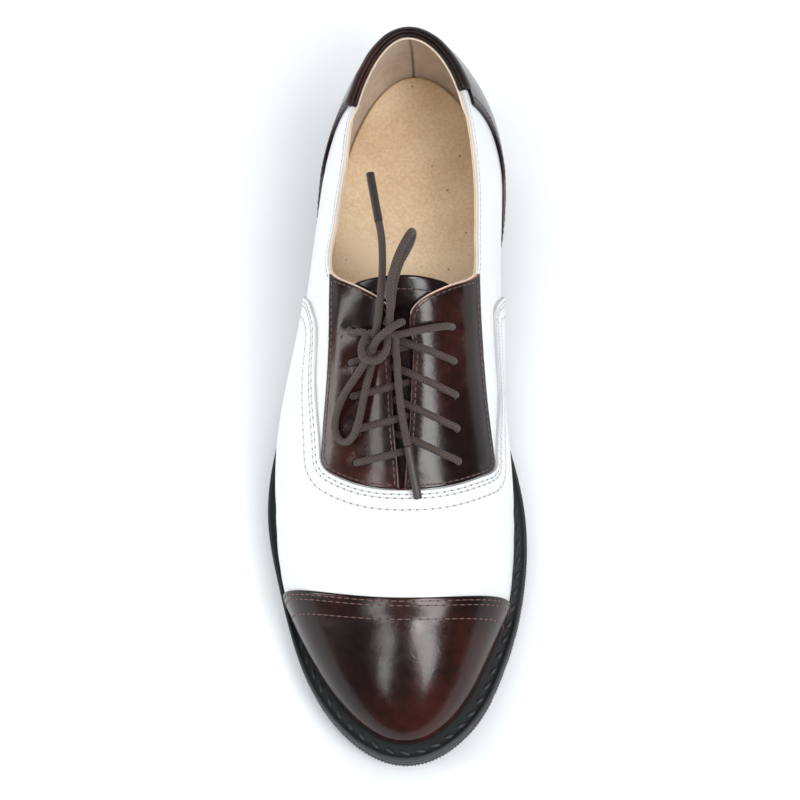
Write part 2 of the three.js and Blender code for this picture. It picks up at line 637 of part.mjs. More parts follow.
// Divides a surface along the line where a region's value is nought. Faces inside get
// the tag, and the ones outside keep theirs.
function mark(whole, region, tag) {
  const surface = halved(whole, region);
  const points = surface.points.map((p) => p.clone());
  const normals = surface.normals.map((n) => n.clone());
  const value = points.map(region);
  const crossing = (a, b) => {
    let low = 0;
    let high = 1;
    for (let i = 0; i < LINE_HALVINGS; i++) {
      const t = (low + high) / 2;
      const same = region(points[a].clone().lerp(points[b], t)) * value[a] > 0;
      if (same) low = t;
      else high = t;
    }
    return (low + high) / 2;
  };
  // A corner near the line moves onto it: along the rim if it lies on one, or straight
  const rim = rimEdges(surface.faces);
  const shortest = shortestEdges(surface);
  const moves = new Map();
  points.forEach((p, id) => {
    const reach = Math.min(NEAR, NEAR_SHARE * (shortest.get(id) ?? 0));
    if (rim.corners.has(id) || value[id] === 0 || Math.abs(value[id]) > reach) return;
    const q = slide(p, normals[id], region);
    if (q.distanceTo(p) < reach && Math.abs(region(q)) < ON_LINE) moves.set(id, q);
  });
  for (const [a, b] of rim.edges) {
    if (value[a] * value[b] >= 0) continue;
    const t = crossing(a, b);
    const [id, share] = t < 0.5 ? [a, t] : [b, 1 - t];
    if (share < NEAR_SHARE && !moves.has(id)) moves.set(id, points[a].clone().lerp(points[b], t));
  }
  for (const [id, p] of moves) {
    points[id] = p;
    value[id] = 0;
  }
  const made = new Map();
  const between = (a, b) => {
    const key = a < b ? `${a} ${b}` : `${b} ${a}`;
    if (!made.has(key)) {
      const [p, q] = a < b ? [a, b] : [b, a];
      const t = crossing(p, q);
      points.push(points[p].clone().lerp(points[q], t));
      normals.push(normals[p].clone().lerp(normals[q], t).normalize());
      made.set(key, points.length - 1);
    }
    return made.get(key);
  };
  const faces = [];
  for (const face of surface.faces) {
    const inside = [];
    const outside = [];
    face.corners.forEach((a, i) => {
      const b = face.corners[(i + 1) % 3];
      if (value[a] <= 0) inside.push(a);
      if (value[a] >= 0) outside.push(a);
      if (value[a] * value[b] < 0) {
        const c = between(a, b);
        inside.push(c);
        outside.push(c);
      }
    });
    const some = face.corners.some((a) => value[a] !== 0);
    const centre = new THREE.Vector3();
    for (const a of face.corners) centre.addScaledVector(points[a], 1 / 3);
    const within = some ? face.corners.some((a) => value[a] < 0) : region(centre) < 0;
    const beyond = some ? face.corners.some((a) => value[a] > 0) : !within;
    if (within) addFaces(faces, points, inside, tag);
    if (beyond) addFaces(faces, points, outside, face.tag);
  }
  return { points, normals, faces };
}

// The part of a surface inside every one of some regions
function cut(surface, ...regions) {
  return regions.reduce((kept, region) => {
    const marked = mark({ ...kept, faces: kept.faces.map((f) => ({ ...f, tag: 0 })) }, region, 1);
    return { ...marked, faces: marked.faces.filter((f) => f.tag === 1).map((f) => ({ ...f, tag: 0 })) };
  }, surface);
}

// A closed body between two distances from a surface. The outer distance may differ
// from tag to tag, with a step between them.
function shell(surface, low, high) {
  const highs = Array.isArray(high) ? high : [high];
  const ids = new Map();
  const position = [];
  const index = [];
  const corner = (id, distance) => {
    const key = `${id} ${distance}`;
    if (!ids.has(key)) {
      const p = surface.points[id].clone().addScaledVector(surface.normals[id], distance);
      ids.set(key, position.length / 3);
      position.push(p.x, p.y, p.z);
    }
    return ids.get(key);
  };
  const owner = new Map();
  for (const f of surface.faces) {
    f.corners.forEach((a, i) => owner.set(`${a} ${f.corners[(i + 1) % 3]}`, f.tag));
  }
  for (const f of surface.faces) {
    const top = highs[f.tag];
    const [a, b, c] = f.corners;
    index.push(corner(a, top), corner(b, top), corner(c, top));
    index.push(corner(c, low), corner(b, low), corner(a, low));
    f.corners.forEach((p, i) => {
      const q = f.corners[(i + 1) % 3];
      const other = owner.get(`${q} ${p}`);
      const foot = other === undefined ? low : highs[other];
      const levels = [foot, ...highs.filter((h) => h > foot && h < top), top];
      for (let k = 1; k < levels.length && foot < top; k++) {
        index.push(corner(q, levels[k]), corner(p, levels[k]), corner(p, levels[k - 1]));
        index.push(corner(q, levels[k]), corner(p, levels[k - 1]), corner(q, levels[k - 1]));
      }
    });
  }
  return toGeometry(position, index);
}

function toGeometry(position, index) {
  const geometry = new THREE.BufferGeometry();
  geometry.setAttribute('position', new THREE.Float32BufferAttribute(position, 3));
  geometry.setIndex(index);
  return geometry;
}

// Joining and cutting
function toSolid(geometry) {
  const bare = geometry.clone();
  bare.deleteAttribute('normal');
  bare.deleteAttribute('uv');
  const merged = mergeVertices(bare, 1e-4);
  return new wasm.Manifold(new wasm.Mesh({
    numProp: 3,
    vertProperties: new Float32Array(merged.attributes.position.array),
    triVerts: new Uint32Array(merged.index.array),
  }));
}
function fromSolid(solid) {
  const mesh = solid.getMesh();
  return toGeometry([...mesh.vertProperties], [...mesh.triVerts]);
}
function minus(geometry, ...tools) {
  return fromSolid(tools.reduce((solid, tool) => solid.subtract(toSolid(tool)), toSolid(geometry)));
}

// A body through rings of points, given from the bottom up. Each ring runs from the toe
// along the inner side to the heel and back, so a flat end is strips from side to side.
function loft(rings, hollow = false) {
  const count = rings[0].length;
  const position = rings.flat().flatMap((p) => [p.x, p.y, p.z]);
  const index = [];
  const quad = (a, b, c, d) => index.push(a, b, c, a, c, d);
  const last = hollow ? rings.length : rings.length - 1;
  for (let k = 0; k < last; k++) {
    const above = ((k + 1) % rings.length) * count;
    for (let i = 0; i < count; i++) {
      const j = (i + 1) % count;
      quad(k * count + i, k * count + j, above + j, above + i);
    }
  }
  if (hollow) return toGeometry(position, index);
  const steps = Math.floor(count / 2);
  const far = (i) => (2 * steps - i) % count;
  const top = (rings.length - 1) * count;
  for (let i = 0; i < steps; i++) {
    const strip = [i, i + 1, far(i + 1), far(i)].filter((id, k, all) => all.indexOf(id) === k);
    for (let k = 2; k < strip.length; k++) {
      index.push(top + strip[0], top + strip[k - 1], top + strip[k]);
      index.push(strip[k], strip[k - 1], strip[0]);
    }
  }
  return toGeometry(position, index);
}

// One ring of the sole's outline, drawn in by an inset, at a height that may change
// along the shoe
function soleRing(inset, height, from = 0, steps = SOLE_STEPS) {
  const sides = { inner: [], outer: [] };
  for (let i = 0; i <= steps; i++) {
    const turn = from === 0 ? Math.PI * i / steps : Math.PI / 2 * i / steps;
    const at = from === 0 ? (1 - Math.cos(turn)) / 2 : from + (1 - from) * Math.sin(turn);
    const end = SOLE_LENGTH / 2 - inset;
    const y = Math.max(-end, Math.min(end, toeTip + at * SOLE_LENGTH));
    const shrink = SOLE_BALL - 2 * inset;
    sides.inner.push(new THREE.Vector3(soleHalf.inner(at) * shrink, y, height(y)));
    sides.outer.push(new THREE.Vector3(-soleHalf.outer(at) * shrink, y, height(y)));
  }
  const back = sides.outer.slice(from === 0 ? 1 : 0, -1).reverse();
  return [...sides.inner, ...back];
}

function box(x, y, z, at) {
  return new THREE.BoxGeometry(x, y, z).translate(at.x, at.y, at.z);
}

const shoe = new THREE.Group();
function add(name, geometry, color, roughness) {
  const mesh = new THREE.Mesh(geometry, new THREE.MeshStandardMaterial({ color, roughness, metalness: 0 }));
  mesh.name = name;
  shoe.add(mesh);
}

const BURGUNDY = 0x3c1d1b;
const WHITE = 0xf2f4f5;
const RUBBER = 0x1c1e1e;
const TAN = 0xc9a477;
const CORD = 0x3f352f;

const base = lastSurface();

// Outsole: a bevel, a groove round its side, and a raised middle inside the welt
const rise = (h) => (y) => ground(y) + h;
const grooveLow = SIDE_GROOVE_FROM * OUTSOLE;
const grooveHigh = SIDE_GROOVE_TO * OUTSOLE;
const plateau = WELT_SEAT + CLEAR;
const outsoleBody = loft([
  soleRing(SOLE_BEVEL, rise(0)),
  soleRing(0, rise(SOLE_BEVEL)),
  soleRing(0, rise(grooveLow - SIDE_GROOVE_LIP)),
  soleRing(SIDE_GROOVE, rise(grooveLow)),
  soleRing(SIDE_GROOVE, rise(grooveHigh)),
  soleRing(0, rise(grooveHigh + SIDE_GROOVE_LIP)),
  soleRing(0, rise(OUTSOLE)),
  soleRing(plateau, rise(OUTSOLE)),
  soleRing(plateau, rise(OUTSOLE + CLEAR + WELT)),
]);
const treadLength = (TREAD_TO - TREAD_FROM) * SOLE_LENGTH;
const treadGrooves = [];
for (let i = 0; i * TREAD_PITCH < treadLength; i++) {
  const y = toeTip + TREAD_FROM * SOLE_LENGTH + i * TREAD_PITCH;
  const height = ground(y) + 2 * LUG;
  treadGrooves.push(box(2 * SOLE_BALL, TREAD_GROOVE, height, { x: 0, y, z: ground(y) + LUG - height / 2 }));
}
add('outsole', minus(outsoleBody, ...treadGrooves), RUBBER, 0.6);

// Heel: tapered to the floor, with a groove over its bottom layer. A tread groove is a
// block twice as tall as it is deep, centred on the underside.
const heelTop = (y) => ground(y) - CLEAR;
const flat = (h) => () => h;
const heelRing = (inset, height) => soleRing(inset, height, HEEL_BREAST, HEEL_STEPS);
const heelBody = loft([
  heelRing(HEEL_TAPER, flat(0)),
  heelRing(HEEL_TAPER * TAPER_UNDER, flat(LIFT - HEEL_GROOVE_LIP)),
  heelRing(HEEL_TAPER * TAPER_UNDER + HEEL_GROOVE, flat(LIFT)),
  heelRing(HEEL_TAPER * TAPER_UNDER + HEEL_GROOVE, flat(LIFT + HEEL_GROOVE_RISE)),
  heelRing(HEEL_TAPER * TAPER_OVER, flat(LIFT + HEEL_GROOVE_RISE + HEEL_GROOVE_LIP)),
  heelRing(0, heelTop),
]);
const heelGrooves = [];
for (let i = 1; i <= HEEL_TREADS; i++) {
  const y = toeTip + HEEL_BREAST * SOLE_LENGTH + i * HEEL_TREAD_PITCH;
  heelGrooves.push(box(2 * SOLE_BALL, TREAD_GROOVE, 2 * LUG, { x: 0, y, z: 0 }));
}
add('heel', minus(heelBody, ...heelGrooves), RUBBER, 0.6);

// Welt: a strip round the sole that carries the upper, with a raised outer lip
const onSole = (h) => rise(OUTSOLE + CLEAR + h);
const lipFade = (y) => 1 - smooth((soleShare(y) - LIP_FADES_FROM) / (LIP_FADES_TO - LIP_FADES_FROM));
const lip = (y) => onSole(WELT)(y) + WELT_RIM_RISE * lipFade(y);
add('welt', loft([
  soleRing(WELT_SEAT, onSole(0)),
  soleRing(WELT_BEVEL, onSole(0)),
  soleRing(0, lip),
  soleRing(WELT_RIM, lip),
  soleRing(WELT_RIM + WELT_RIM_SLOPE, onSole(WELT)),
  soleRing(WELT_SEAT, onSole(WELT)),
], true), RUBBER, 0.6);

// Insole, inside the upper's lower edge
function insoleRing(height) {
  const ring = [];
  for (let i = 0; i < 2 * RIBS; i++) {
    const round = i / (2 * RIBS);
    const n = lastNormal(round, LOW_SHARE).setZ(0).normalize();
    const p = lastPoint(round, 0).addScaledVector(n, -(WALL + 2 * CLEAR));
    ring.push(p.setZ(weltTop(p.y) + CLEAR + height));
  }
  return ring;
}
add('insole', loft([insoleRing(0), insoleRing(INSOLE)]), TAN, 0.8);

// Upper: one wall from the lower edge to the collar, with the vamp as a step in it
const quarters = cut(base, opening);
const vampStep = (p) => Math.max(-quarter(p), CLEAR - cap(p));
const stepped = mark(quarters, vampStep, 1);

// Lacing holes, through the facings and the wall. across runs from -1 at the outer holes
// to 1 at the inner ones.
const middleRow = (EYELETS - 1) / 2;
const laceX = (row, across) => (
  throatX + EYELET_SHIFT + EYELET_DRIFT * (row - middleRow) + across * EYELET_OUT
);
const laceY = (row, across) => (
  EYELET_FIRST - row * EYELET_PITCH - EYELET_STAGGER * (1 - across) / 2
);
const holes = [];
for (const side of [-1, 1]) {
  for (let row = 0; row < EYELETS; row++) {
    const { point, normal } = onLast(laceX(row, side), laceY(row, side));
    const hole = new THREE.CylinderGeometry(EYELET_HOLE / 2, EYELET_HOLE / 2, 4 * WALL, LACE_SIDES);
    const turn = new THREE.Quaternion().setFromUnitVectors(new THREE.Vector3(0, 1, 0), normal);
    holes.push(hole.applyQuaternion(turn).translate(point.x, point.y, point.z));
  }
}

add('upper', minus(shell(stepped, -WALL, [0, VAMP_LEATHER]), ...holes), WHITE, 0.35);

// Overlays
add('toe_cap', shell(cut(base, cap), CLEAR, CLEAR + CAP_LEATHER), BURGUNDY, 0.25);
const facings = cut(quarters, panel, (p) => p.y - (upperToe + PANEL_END * UPPER_LENGTH));
const facingSide = (side) => (p) => side * (p.x - throatX) + CLEAR / 2;
for (const [name, side] of [['facing_outer', 1], ['facing_inner', -1]]) {
  const leather = shell(cut(facings, facingSide(side)), CLEAR, CLEAR + FACING_LEATHER);
  add(name, minus(leather, ...holes), BURGUNDY, 0.3);
}
const underBinding = (p) => collarDrop(p) + BINDING_DROP + CLEAR;
add('heel_counter', shell(cut(base, counter, underBinding), CLEAR, CLEAR + COUNTER_LEATHER), BURGUNDY, 0.3);

// Binding: a padded strip folded over the back of the collar
const bound = (p) => upperToe + bindingFrom(p) * UPPER_LENGTH - p.y;
const strip = cut(base, bound, (p) => collarDrop(p) - BINDING_RISE, (p) => -collarDrop(p) - BINDING_DROP);
const covered = cut(base, (p) => collarDrop(p) - CLEAR);
add('collar_binding', minus(
  shell(strip, -WALL - CLEAR - BINDING_LINING, CLEAR + BINDING),
  shell(covered, -WALL - CLEAR, CLEAR),
), BURGUNDY, 0.35);

// Tongue, under the facings
const tongueTop = upperToe + TONGUE_TO * UPPER_LENGTH;
const tongueToe = upperToe + TONGUE_FROM * UPPER_LENGTH;
const tongueSide = (p) => Math.abs(p.x - throatX) - tongueHalf(upperShare(p.y)) * UPPER_BALL;
const tongue = (p) => softMax(tongueSide(p), p.y - tongueTop, TONGUE_CORNER);
const tongueSurface = cut(base, tongue, (p) => tongueToe - p.y);
add('tongue', shell(tongueSurface, -WALL - CLEAR - TONGUE, -WALL - CLEAR), BURGUNDY, 0.3);

// A cord or a rod along a smooth curve through some points
function rod(points, diameter, steps) {
  const section = new THREE.Shape();
  for (let i = 0; i < LACE_SIDES; i++) {
    const turn = 2 * Math.PI * i / LACE_SIDES;
    const [x, y] = [diameter / 2 * Math.cos(turn), diameter / 2 * Math.sin(turn)];
    if (i === 0) section.moveTo(x, y);
    else section.lineTo(x, y);
  }
  const path = new THREE.CatmullRomCurve3(points.map((p) => new THREE.Vector3(...p)));
  return new THREE.ExtrudeGeometry(section, { extrudePath: path, steps, bevelEnabled: false });
}

// Bars of the lacing: each rises from its two holes and dips between the facings
const barHeight = CLEAR + FACING_LEATHER + CLEAR + LACE / 2;
for (let row = 0; row < EYELETS; row++) {
  const climb = row === 0 ? 0 : BAR_RISE;
  const route = BAR.map((b) => {
    const above = barHeight - b.dip * LACE;
    return onLast(laceX(row, b.across), laceY(row, b.across) + b.along * climb, above).point.toArray();
  });
  add(`lace_bar_${row + 1}`, rod(route, LACE, BAR_STEPS), CORD, 0.7);
}

// Knot, as its outer form, and the cords that leave it
const knotForm = (spare) => {
  const lump = new THREE.SphereGeometry(1, KNOT_SIDES, KNOT_RINGS);
  lump.scale(KNOT.across / 2 + spare, KNOT.along / 2 + spare, KNOT.high / 2 + spare);
  return lump.rotateX(KNOT.tilt).translate(...KNOT.at);
};
add('lace_knot', knotForm(0), CORD, 0.7);
for (const cord of CORDS) {
  add(cord.name, minus(rod(cord.route, LACE, cord.steps), knotForm(CLEAR)), CORD, 0.7);
}

// End sleeves, in line with the cord's last stretch
for (const [name, cord] of [['aglet_upper', CORDS[0]], ['aglet_lower', CORDS[1]]]) {
  const [before, end] = cord.route.slice(-2).map((p) => new THREE.Vector3(...p));
  const along = end.clone().sub(before).normalize();
  const start = end.clone().addScaledVector(along, CLEAR);
  const tip = start.clone().addScaledVector(along, AGLET_LENGTH);
  add(name, rod([start.toArray(), tip.toArray()], AGLET, 1), CORD, 0.35);
}

// The origin is under the middle of the sole
const acrossSole = soleRing(0, flat(0)).map((p) => p.x);
shoe.position.x = -(Math.max(...acrossSole) + Math.min(...acrossSole)) / 2;

export default shoe;
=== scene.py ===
# %% [markdown]
# # A right two-tone oxford, dressed for its portrait
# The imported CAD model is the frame: its box, its soles' heights and the line of its
# lacing are given. This file makes what the eye sees on that frame: leather with cut
# edges and stitches, a moulded rubber welt, a lining, a sock and a braided lace. All
# sizes below are millimetres, and turn to metres where a mesh is made.

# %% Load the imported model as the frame
import math

import bpy
import numpy as np
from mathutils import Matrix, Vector


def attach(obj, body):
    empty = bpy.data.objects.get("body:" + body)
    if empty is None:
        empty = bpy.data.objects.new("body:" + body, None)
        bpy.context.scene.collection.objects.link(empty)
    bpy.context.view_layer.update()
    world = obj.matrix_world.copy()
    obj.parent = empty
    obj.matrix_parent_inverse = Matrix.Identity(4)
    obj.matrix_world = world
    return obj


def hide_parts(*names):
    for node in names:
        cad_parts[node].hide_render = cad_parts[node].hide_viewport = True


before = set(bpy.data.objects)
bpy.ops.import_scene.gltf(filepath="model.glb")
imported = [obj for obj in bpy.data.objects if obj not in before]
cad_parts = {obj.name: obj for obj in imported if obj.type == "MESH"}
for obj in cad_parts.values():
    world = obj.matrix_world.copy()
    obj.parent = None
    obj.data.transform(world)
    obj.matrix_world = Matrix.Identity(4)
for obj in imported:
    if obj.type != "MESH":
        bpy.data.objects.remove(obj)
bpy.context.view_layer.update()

# %% [markdown]
# ## The camera
# The photograph looks down on the toe at about 70 degrees from 1.3 m away with a long
# lens. The camera stands at that same point and turns to the middle of the shoe, so
# every outline falls as it does in the photograph.

# %% Camera at the photograph's angle
CAMERA_AT = Vector((0.058529, -0.438415, 1.265434))
PHOTO_ANGLE = math.radians(70.5)  # below the horizon
FOCAL_SHARE = 3510 / 800          # focal length over the picture's width
SENSOR_MM = 36

camera_data = bpy.data.cameras.new("camera")
camera_data.sensor_width = SENSOR_MM
camera_data.lens = FOCAL_SHARE * SENSOR_MM
camera_data.clip_start, camera_data.clip_end = 0.01, 20
camera = bpy.data.objects.new("camera", camera_data)
bpy.context.scene.collection.objects.link(camera)
bpy.context.scene.camera = camera
shoe_middle = Vector((0.0015, -0.004, 0.035))
camera.location = CAMERA_AT
camera.rotation_mode = "QUATERNION"
# From the photograph's view, which runs along the shoe, straight over to the shoe's middle
along_shoe = Vector((0, math.cos(PHOTO_ANGLE), -math.sin(PHOTO_ANGLE)))
to_shoe = (shoe_middle - CAMERA_AT).normalized()
turn_over = along_shoe.rotation_difference(to_shoe)
camera.rotation_quaternion = turn_over @ along_shoe.to_track_quat("-Z", "Y")
print("camera looks down", round(math.degrees(math.asin(-to_shoe.z)), 1), "degrees")

# %% [markdown]
# ## Colours and nodes
# Colours are picked as sRGB hex values. Blender's shaders count in linear light, so one
# function turns a hex value to linear. Another adds a node with its settings and links,
# and the rest name the few kinds of node that every material here is made of.

# %% Helpers for materials
def colour(hex_value):
    channels = [int(hex_value[i:i + 2], 16) / 255 for i in (1, 3, 5)]
    linear = [c / 12.92 if c <= 0.04045 else ((c + 0.055) / 1.055) ** 2.4 for c in channels]
    return (*linear, 1.0)


def node(tree, kind, inputs=None, **settings):
    made = tree.nodes.new(kind)
    for name, value in settings.items():
        setattr(made, name, value)
    for name, value in (inputs or {}).items():
        socket = made.inputs[name]
        if isinstance(value, bpy.types.NodeSocket):
            tree.links.new(value, socket)
        else:
            socket.default_value = value
    return made


def new_material(name):
    made = bpy.data.materials.new(name)
    made.use_nodes = True
    made.node_tree.nodes.clear()
    return made, made.node_tree


def object_place(tree):
    return node(tree, "ShaderNodeTexCoord").outputs["Object"]


def noise(tree, scale, detail, **inputs):
    made = node(tree, "ShaderNodeTexNoise", {"Scale": scale, "Detail": detail, **inputs})
    return made.outputs["Fac"]


def attribute(tree, name):
    return node(tree, "ShaderNodeAttribute", attribute_name=name).outputs["Fac"]


def worked_out(tree, operation, *values):
    return node(tree, "ShaderNodeMath", dict(enumerate(values)), operation=operation).outputs[0]


def mapped(tree, value, span, result):
    return node(tree, "ShaderNodeMapRange", {
        "Value": value, "From Min": span[0], "From Max": span[1],
        "To Min": result[0], "To Max": result[1]}).outputs[0]


def mixed(tree, share, first, second):
    return node(tree, "ShaderNodeMix", {0: share, 6: first, 7: second}, data_type="RGBA").outputs[2]


def ramp(tree, value, low, high, *between):
    made = node(tree, "ShaderNodeValToRGB", {0: value})
    stops = made.color_ramp.elements
    for k, (position, hex_value) in enumerate((low, high)):
        stops[k].position, stops[k].color = position, colour(hex_value)
    for position, hex_value in between:
        stops.new(position).color = colour(hex_value)
    return made.outputs[0]


def bump(tree, height, strength, distance, **inputs):
    return node(tree, "ShaderNodeBump", {
        "Height": height, "Strength": strength, "Distance": distance, **inputs}).outputs[0]


def surface(tree, inputs):
    shader = node(tree, "ShaderNodeBsdfPrincipled", inputs)
    node(tree, "ShaderNodeOutputMaterial", {"Surface": shader.outputs[0]})


# %% [markdown]
# ## Curves through tables
# A last is drawn from a few stations. A natural cubic curve through a table gives every
# size between them without a corner, because its slope and its bend run on.

# %% Tables and natural cubic curves
def curve(x, y):
    x, y = np.asarray(x, float), np.asarray(y, float)
    h, n = np.diff(x), len(x)
    system, turn = np.eye(n), np.zeros(n)
    for i in range(1, n - 1):
        system[i, i - 1:i + 2] = h[i - 1] / 6, (h[i - 1] + h[i]) / 3, h[i] / 6
        turn[i] = (y[i + 1] - y[i]) / h[i] - (y[i] - y[i - 1]) / h[i - 1]
    bend = np.linalg.solve(system, turn)
    first = (y[1] - y[0]) / h[0] - bend[1] * h[0] / 6
    final = (y[-1] - y[-2]) / h[-1] + bend[-2] * h[-1] / 6

    def value(at):
        at = np.asarray(at, float)
        i = np.clip(np.searchsorted(x, at) - 1, 0, n - 2)
        a = (x[i + 1] - at) / h[i]
        b = 1 - a
        bent = (a**3 - a) * bend[i] + (b**3 - b) * bend[i + 1]
        inside = a * y[i] + b * y[i + 1] + bent * h[i] ** 2 / 6
        inside = np.where(at < x[0], y[0] + (at - x[0]) * first, inside)
        return np.where(at > x[-1], y[-1] + (at - x[-1]) * final, inside)
    return value


def smooth(t):
    t = np.clip(t, 0, 1)
    return t * t * (3 - 2 * t)


def reach_along(points):
    steps = np.linalg.norm(np.diff(points, axis=0), axis=1)
    return np.concatenate([[0], np.cumsum(steps)])


# at, outer, inner: half widths over the ball's width, along the length from the toe
SOLE_OUTLINE = np.array([
    (0.03, 0.196, 0.193), (0.07, 0.299, 0.285), (0.12, 0.382, 0.350), (0.18, 0.445, 0.405),
    (0.25, 0.497, 0.442), (0.33, 0.541, 0.450), (0.42, 0.533, 0.405), (0.50, 0.483, 0.345),
    (0.58, 0.418, 0.314), (0.66, 0.368, 0.309), (0.74, 0.342, 0.322), (0.82, 0.328, 0.336),
    (0.90, 0.287, 0.309), (0.96, 0.198, 0.219)])
UPPER_OUTLINE = np.array([
    (0.03, 0.187, 0.175), (0.07, 0.292, 0.260), (0.12, 0.384, 0.328), (0.18, 0.468, 0.396),
    (0.25, 0.524, 0.428), (0.33, 0.546, 0.432), (0.42, 0.546, 0.414), (0.50, 0.507, 0.394),
    (0.58, 0.453, 0.394), (0.66, 0.419, 0.389), (0.74, 0.392, 0.392), (0.82, 0.360, 0.386),
    (0.90, 0.292, 0.330), (0.96, 0.192, 0.223)])
SOLE_LENGTH, SOLE_BALL, UPPER_LENGTH, UPPER_BALL = 275, 97.5, 265, 88.3
TOE_MARGIN = 7.2
SOLE_TOE = -SOLE_LENGTH / 2
UPPER_TOE = SOLE_TOE + TOE_MARGIN


def round_ended(rows, column):
    ellipse = lambda at: 2 * np.sqrt(np.clip(at * (1 - at), 0, None))
    fullness = curve(rows[:, 0], rows[:, column] / ellipse(rows[:, 0]))
    return lambda at: ellipse(at) * fullness(at)


sole_half = {"outer": round_ended(SOLE_OUTLINE, 1), "inner": round_ended(SOLE_OUTLINE, 2)}
upper_half = {"outer": round_ended(UPPER_OUTLINE, 1), "inner": round_ended(UPPER_OUTLINE, 2)}
BALL_AT = 0.33
sole_at_ball = float(sole_half["outer"](BALL_AT) + sole_half["inner"](BALL_AT)) * SOLE_BALL
print("sole at the ball:", round(sole_at_ball, 1), "mm")

# %% [markdown]
# ## Heights along the shoe
# The sole lifts at the toe, lies flat under the ball, and climbs over the arch to the
# heel. Everything above follows that one line.

# %% Ground line and layers of the sole
TOE_SPRING, HEEL_BLOCK, OUTSOLE, WELT, CLEAR = 9, 17, 7, 3.4, 0.3
FLAT_FROM, FLAT_TO, SEAT_FROM, HEEL_BREAST = 0.23, 0.42, 0.74, 0.705
LAST_HEIGHT, WALL = 88, 1.9
BACK_HEIGHT = 0.9773 * LAST_HEIGHT


def ground(y):
    at = (np.asarray(y, float) - SOLE_TOE) / SOLE_LENGTH
    spring = TOE_SPRING * np.clip((FLAT_FROM - at) / FLAT_FROM, 0, None) ** 2
    return spring + HEEL_BLOCK * smooth((at - FLAT_TO) / (SEAT_FROM - FLAT_TO))


def lower_edge(y):
    return ground(y) + OUTSOLE + CLEAR + WELT + CLEAR


# %% [markdown]
# ## The last
# A shoe is built on a last, the wooden form of a foot. Here the last is one function of
# two numbers: the turn round it (0 at the toe, by the inner side to 0.5 at the heel,
# and back by the outer side), and how far up it, from the lower edge to the ridge.

# %% The last as a function
# at, ridge, belly, tuck outer, tuck inner, plan power, rise power
LAST = np.array([
    (0.00, 0.420, 0.045, 0.012, 0.012, 2.5, 2.1), (0.08, 0.473, 0.048, 0.012, 0.012, 2.4, 2.1),
    (0.15, 0.524, 0.060, 0.014, 0.014, 2.3, 2.1), (0.22, 0.578, 0.075, 0.016, 0.016, 2.2, 2.0),
    (0.32, 0.678, 0.100, 0.018, 0.020, 2.1, 2.0), (0.42, 0.808, 0.130, 0.024, 0.034, 2.1, 2.0),
    (0.54, 1.000, 0.160, 0.034, 0.060, 2.1, 2.0), (0.61, 1.098, 0.175, 0.040, 0.066, 2.1, 1.9),
    (0.70, 1.136, 0.190, 0.040, 0.056, 2.0, 1.5), (0.80, 1.160, 0.195, 0.036, 0.042, 2.0, 1.3),
    (0.90, 1.220, 0.200, 0.034, 0.036, 2.0, 1.3), (1.00, 1.290, 0.205, 0.034, 0.034, 2.0, 1.3)])
ridge, belly, tuck_outer, tuck_inner, plan_power, rise_power = (
    curve(LAST[:, 0], LAST[:, k]) for k in range(1, 7))
RIDGE_TOE, RIDGE_HEEL, RIDGE_SOFTNESS, LOW_SHARE = 0.15, 0.865, 0.09, 0.2


def upper_share(y):
    return (y - UPPER_TOE) / UPPER_LENGTH


def last_point(turn, up):
    inner = turn <= 0.5
    at = (1 - np.cos(np.pi * np.where(inner, 2 * turn, 2 * (1 - turn)))) / 2
    y = UPPER_TOE + at * UPPER_LENGTH
    x = np.where(inner, upper_half["inner"](at), -upper_half["outer"](at)) * UPPER_BALL
    soft = lambda d: (d + np.hypot(d, RIDGE_SOFTNESS)) / 2
    ridge_y = UPPER_TOE + (at + soft(RIDGE_TOE - at) - soft(at - RIDGE_HEEL)) * UPPER_LENGTH
    low = lower_edge(y)
    widest = low + belly(at) * UPPER_BALL
    # Under the widest line the leather tucks in towards the sole
    low_turn = (1 - np.clip(up / LOW_SHARE, 0, 1)) * np.pi / 2
    tuck = np.where(inner, tuck_inner(at), tuck_outer(at)) * UPPER_BALL * (1 - np.cos(low_turn))
    keep = 1 - tuck / np.clip(np.hypot(x, y - ridge_y), 1, None)
    level = widest - (widest - low) * np.sin(low_turn)
    below = np.stack([x * keep, ridge_y + (y - ridge_y) * keep, level], -1)
    # Over it the section closes to the ridge
    high_turn = np.clip((up - LOW_SHARE) / (1 - LOW_SHARE), 0, 1) * np.pi / 2
    out = np.clip(np.cos(high_turn), 0, None) ** (2 / plan_power(at))
    rise = np.sin(high_turn) ** (2 / rise_power(at))
    here = ridge_y + (y - ridge_y) * out
    top = ridge(upper_share(here)) * LAST_HEIGHT
    above = np.stack([x * out, here, widest + (top - widest) * rise], -1)
    return np.where((up < LOW_SHARE)[..., None], below, above)


def unit(v):
    return v / np.clip(np.linalg.norm(v, axis=-1, keepdims=True), 1e-9, None)


def last_normal(turn, up, du=0.002, dv=0.01):
    v = np.minimum(up, 1 - dv)
    a = last_point((turn + du) % 1, v) - last_point((turn - du) % 1, v)
    b = last_point(turn, np.minimum(1, v + dv)) - last_point(turn, np.clip(v - dv, 0, None))
    return unit(np.cross(a, b))


turns = np.array([0.0, 0.25, 0.5])
print("last at the lower edge:", last_point(turns, np.zeros(3)).round(1).tolist())

# %% [markdown]
# ## Pattern pieces
# A pattern cutter draws each leather piece on the last and cuts along the line. Each
# line below is a function of a point that gives its distance, in millimetres, to the
# line: negative inside the piece. The same functions later place the stitch rows.

# %% Lines of the pattern
# at, height: the collar's edge over the back's height
COLLAR = np.array([
    (0.605, 0.925), (0.65, 0.883), (0.69, 0.866), (0.73, 0.862), (0.78, 0.882), (0.84, 0.930),
    (0.90, 0.975), (0.95, 0.998), (1.00, 1.000)])
